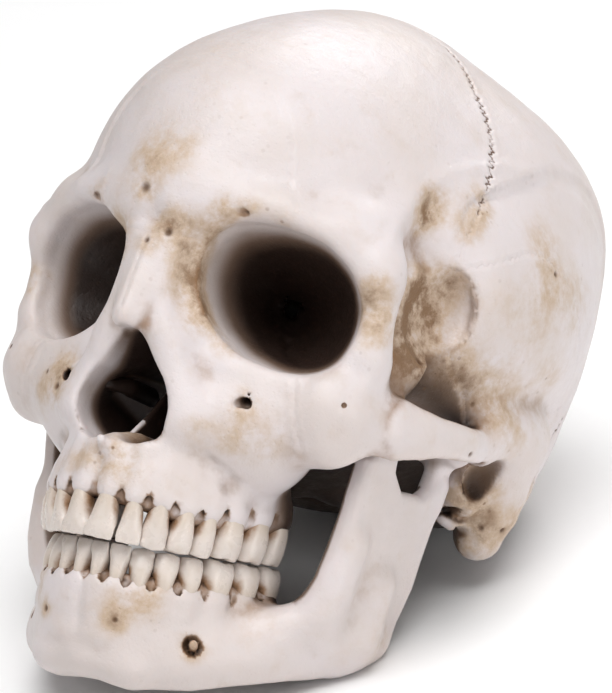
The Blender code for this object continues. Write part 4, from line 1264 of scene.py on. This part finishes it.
def bone_finish_and_shade(name):
    """Satin cast bone: off-white with brown stains and dark seams, brown dirt and painted shade in its
    creases, and painted shade deep in its hollows and underneath.
    """
    made = Nodes(name)
    broad = made.noise(34.0, 2.0)
    cloudy = made.noise(9.0, 4.0, 0.6)
    grainy = made.noise(2.6, 4.0, 0.7)
    base = made.mix(made.span(broad, 0.35, 0.65), colour(216, 207, 207), colour(210, 199, 195))
    base = made.wash(base, cloudy, 0.52, 0.78, 0.35, (199, 182, 169))
    # Brown stains, and painted shade where patches lie under the base
    stain_and_shade = made.mask("stain_and_shade")
    patchy = made.math("ADD", made.times(cloudy, 0.9), made.times(grainy, 0.5))
    patchy_stain_and_shade = made.times(stain_and_shade, made.span(patchy, 0.42, 0.95, 0.25, 1.35))
    base = made.wash(base, patchy_stain_and_shade, 0.04, 0.5, 0.8, (190, 164, 136))
    base = made.wash(base, patchy_stain_and_shade, 0.38, 1.0, 0.9, (124, 94, 66))
    # Crease: brown dirt in furrows, deepening to a near-black painted shade
    crease_dirt_and_shade = made.mask("crease_dirt_and_shade")
    wash = made.times(crease_dirt_and_shade, made.span(cloudy, 0.3, 0.7, 0.65, 1.3))
    base = made.wash(base, wash, 0.16, 0.62, 0.8, (140, 104, 72))
    base = made.wash(base, wash, 0.55, 1.0, 0.85, (62, 40, 25))
    # Painted shade: brown, then near black, deep in holes, under the base and on the jaw's inner faces
    hollow_shade = made.mask("hollow_shade")
    base = made.wash(base, hollow_shade, 0.26, 0.7, 0.9, (112, 86, 66))
    base = made.wash(base, hollow_shade, 0.5, 0.95, 0.97, (46, 35, 31))
    speck = made.span(made.cells(3.4), 0.1, 0.22, 1.0, 0.0)
    speck = made.times(speck, made.span(made.noise(13.0, 2.0), 0.5, 0.7))
    speck = made.times(speck, made.span(patchy_stain_and_shade, 0.03, 0.4, 0.12, 0.8))
    base = made.mix(speck, base, colour(118, 86, 58))
    dark = made.mask("dark")
    base = made.wash(base, dark, 0.12, 0.75, 0.9, (92, 64, 42))
    gloss = made.span(grainy, 0.3, 0.7, 0.36, 0.5)
    rough = made.math("ADD", made.times(patchy_stain_and_shade, 1.2), 0.35)
    pores = made.times(made.span(made.cells(1.5), 0.08, 0.3), rough)
    under = made.bump(made.noise(5.0, 5.0, 0.6), 0.0006, 0.5)
    under = made.bump(made.times(made.noise(1.4, 4.0, 0.7), rough), 0.0004, 0.6, under)
    return made.shaded({
        "Base Color": base,
        "Roughness": made.math("ADD", gloss, made.times(patchy_stain_and_shade, 0.18)),
        "Specular IOR Level": 0.4,
        "Subsurface Weight": 0.12,
        "Subsurface Radius": (0.004, 0.0025, 0.0018),
        "Subsurface Scale": 1.0,
        "Normal": made.bump(pores, 0.00015, 0.6, under),
    })


def tooth_finish_and_shade(name):
    """Satin ivory enamel, with brown stain and painted shade at the neck and where one tooth meets the
    next.
    """
    made = Nodes(name)
    cloudy = made.noise(4.0, 3.0, 0.6)
    rise, side = made.mask("rise"), made.mask("side")
    base = made.mix(made.span(rise, 0.1, 0.75), colour(204, 190, 177), colour(216, 205, 197))
    base = made.wash(base, cloudy, 0.5, 0.75, 0.4, (198, 183, 166))
    # Brown stain and painted shade on the sides where one tooth meets the next, and a painted shadow line
    # at the neck
    shut_in = made.times(made.math("POWER", side, 2.5), made.span(rise, 0.8, 0.1, 0.0, 1.9))
    neck = made.span(rise, 0.1, 0.0, 0.0, 0.7)
    wash = made.times(made.math("MAXIMUM", shut_in, neck), made.span(cloudy, 0.25, 0.7, 0.6, 1.25))
    base = made.wash(base, wash, 0.15, 0.7, 0.85, (140, 98, 58))
    base = made.wash(base, wash, 0.6, 1.0, 0.85, (56, 34, 20))
    return made.shaded({
        "Base Color": base,
        "Roughness": made.span(cloudy, 0.3, 0.7, 0.24, 0.38),
        "Subsurface Weight": 0.12,
        "Subsurface Radius": (0.002, 0.0014, 0.001),
        "Subsurface Scale": 1.0,
        "Normal": made.bump(made.noise(1.6, 3.0, 0.6), 0.0003, 0.35),
    })


def steel_finish(name):
    """Bright drawn rod with fine lines round it."""
    made = Nodes(name)
    grainy = made.noise(0.6, 3.0, 0.7)
    drawn = made.mix(grainy, colour(176, 176, 180), colour(206, 206, 210))
    rough = made.span(grainy, 0.3, 0.7, 0.24, 0.42)
    return made.shaded({"Metallic": 1.0, "Base Color": drawn, "Roughness": rough})


def floor_finish(name):
    """Plain white paper, with only a trace of grain."""
    made = Nodes(name)
    paper = made.mix(made.noise(4.0, 2.0), colour(250, 250, 250), colour(248, 248, 248))
    return made.shaded({"Base Color": paper, "Roughness": 0.9, "Specular IOR Level": 0.1})


# The whole object


def dress():
    """Builds each piece, gives it its material, attaches it to its body and hides the CAD part that it
    stands in for.
    """
    bone = bone_finish_and_shade("aged_bone_and_shade")
    enamel = tooth_finish_and_shade("aged_enamel_and_shade")
    steel = steel_finish("drawn_steel")
    cranium, mandible = build_cranium(), build_mandible()
    placed = [
        (cranium, "head", "cranium", "bone_resin", bone),
        (mandible, "jaw", "mandible", "bone_resin", bone),
        (build_septum(), "head", "nasal_septum", "bone_resin", bone),
    ]
    for side in ("left", "right"):
        placed.append((build_concha(side), "head", f"nasal_concha_{side}", "bone_resin", bone))
        for row, body in (("upper", "head"), ("lower", "jaw")):
            for tooth in row_teeth(row):
                node = f"{row}_{side}_{KINDS[tooth['number']]}"
                placed.append((build_tooth(row, side, tooth), body, node, "tooth_resin", enamel))
        for slot in bpy.data.objects[f"hinge_dowel_{side}"].material_slots:
            slot.material = steel
    for piece, body, node, slot_name, material in placed:
        piece.data.materials.append(material)
        piece.data.shade_smooth()
        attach(piece, body)
        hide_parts(node)


# Lamps: name, place, width and power
LAMPS = (
    ("top_lamp", (0.45, -0.55, 2.45), 2.2, 63.0),
    ("back_lamp", (-0.2, 1.9, 1.4), 1.4, 19.0),
    ("key_lamp", (-0.35, -1.2, 0.75), 0.8, 2.2),
    ("side_lamp", (1.55, -0.35, 0.4), 0.7, 6.0),
)
LIT_POINT = (0, 0, 0.08)
FLOOR_SIZE = 8
ROOM_COLOUR = (1.0, 0.99, 0.99, 1)
ROOM_STRENGTH = 0.13


def set_stage():
    """Pale floor, white surroundings and soft lamps."""
    bpy.ops.mesh.primitive_plane_add(size=FLOOR_SIZE, location=(0, 0, 0))
    floor = bpy.context.object
    floor.name = "paper_floor"
    floor.data.materials.append(floor_finish("paper"))
    scene = bpy.context.scene
    scene.view_settings.view_transform = "Standard"
    world = bpy.data.worlds.new("white_room")
    world.use_nodes = True
    room = world.node_tree.nodes["Background"].inputs
    room["Color"].default_value = ROOM_COLOUR
    room["Strength"].default_value = ROOM_STRENGTH
    scene.world = world
    for name, place, size, power in LAMPS:
        light = bpy.data.lights.new(name, "AREA")
        light.shape = "DISK"
        light.size = size
        light.energy = power
        lamp = bpy.data.objects.new(name, light)
        scene.collection.objects.link(lamp)
        lamp.location = place
        lamp.rotation_euler = (Vector(LIT_POINT) - Vector(place)).to_track_quat("-Z", "Y").to_euler()


# The photograph's camera in the upright skull: its place in millimetres and its three directions
CAMERA_PLACE = (470.179, -761.997, -92.503)
CAMERA_RIGHT = (0.84230556, 0.49702637, 0.20853331)
CAMERA_UP = (-0.11601412, -0.21064178, 0.97065481)
CAMERA_AHEAD = (-0.52636686, 0.84178075, 0.11976267)
FOCAL_SHARE = 3159.55 / 693  # focal length over the picture's height


def set_camera():
    """The camera at the photograph's viewing angle."""
    camera_data = bpy.data.cameras.new("photo_camera")
    camera = bpy.data.objects.new("photo_camera", camera_data)
    bpy.context.scene.collection.objects.link(camera)
    cos, sin = math.cos(LEAN), math.sin(LEAN)
    columns = []
    for x, y, z in (CAMERA_RIGHT, CAMERA_UP, [-value for value in CAMERA_AHEAD]):
        columns.append((x, cos * y + sin * z, cos * z - sin * y))
    turned = Matrix(columns).transposed().to_4x4()
    turned.translation = Vector(to_world([CAMERA_PLACE])[0])
    camera.matrix_world = turned
    camera_data.lens = camera_data.sensor_width * FOCAL_SHARE
    camera_data.clip_start = 0.01
    camera_data.clip_end = 50
    bpy.context.scene.camera = camera


dress()
set_stage()
set_camera()
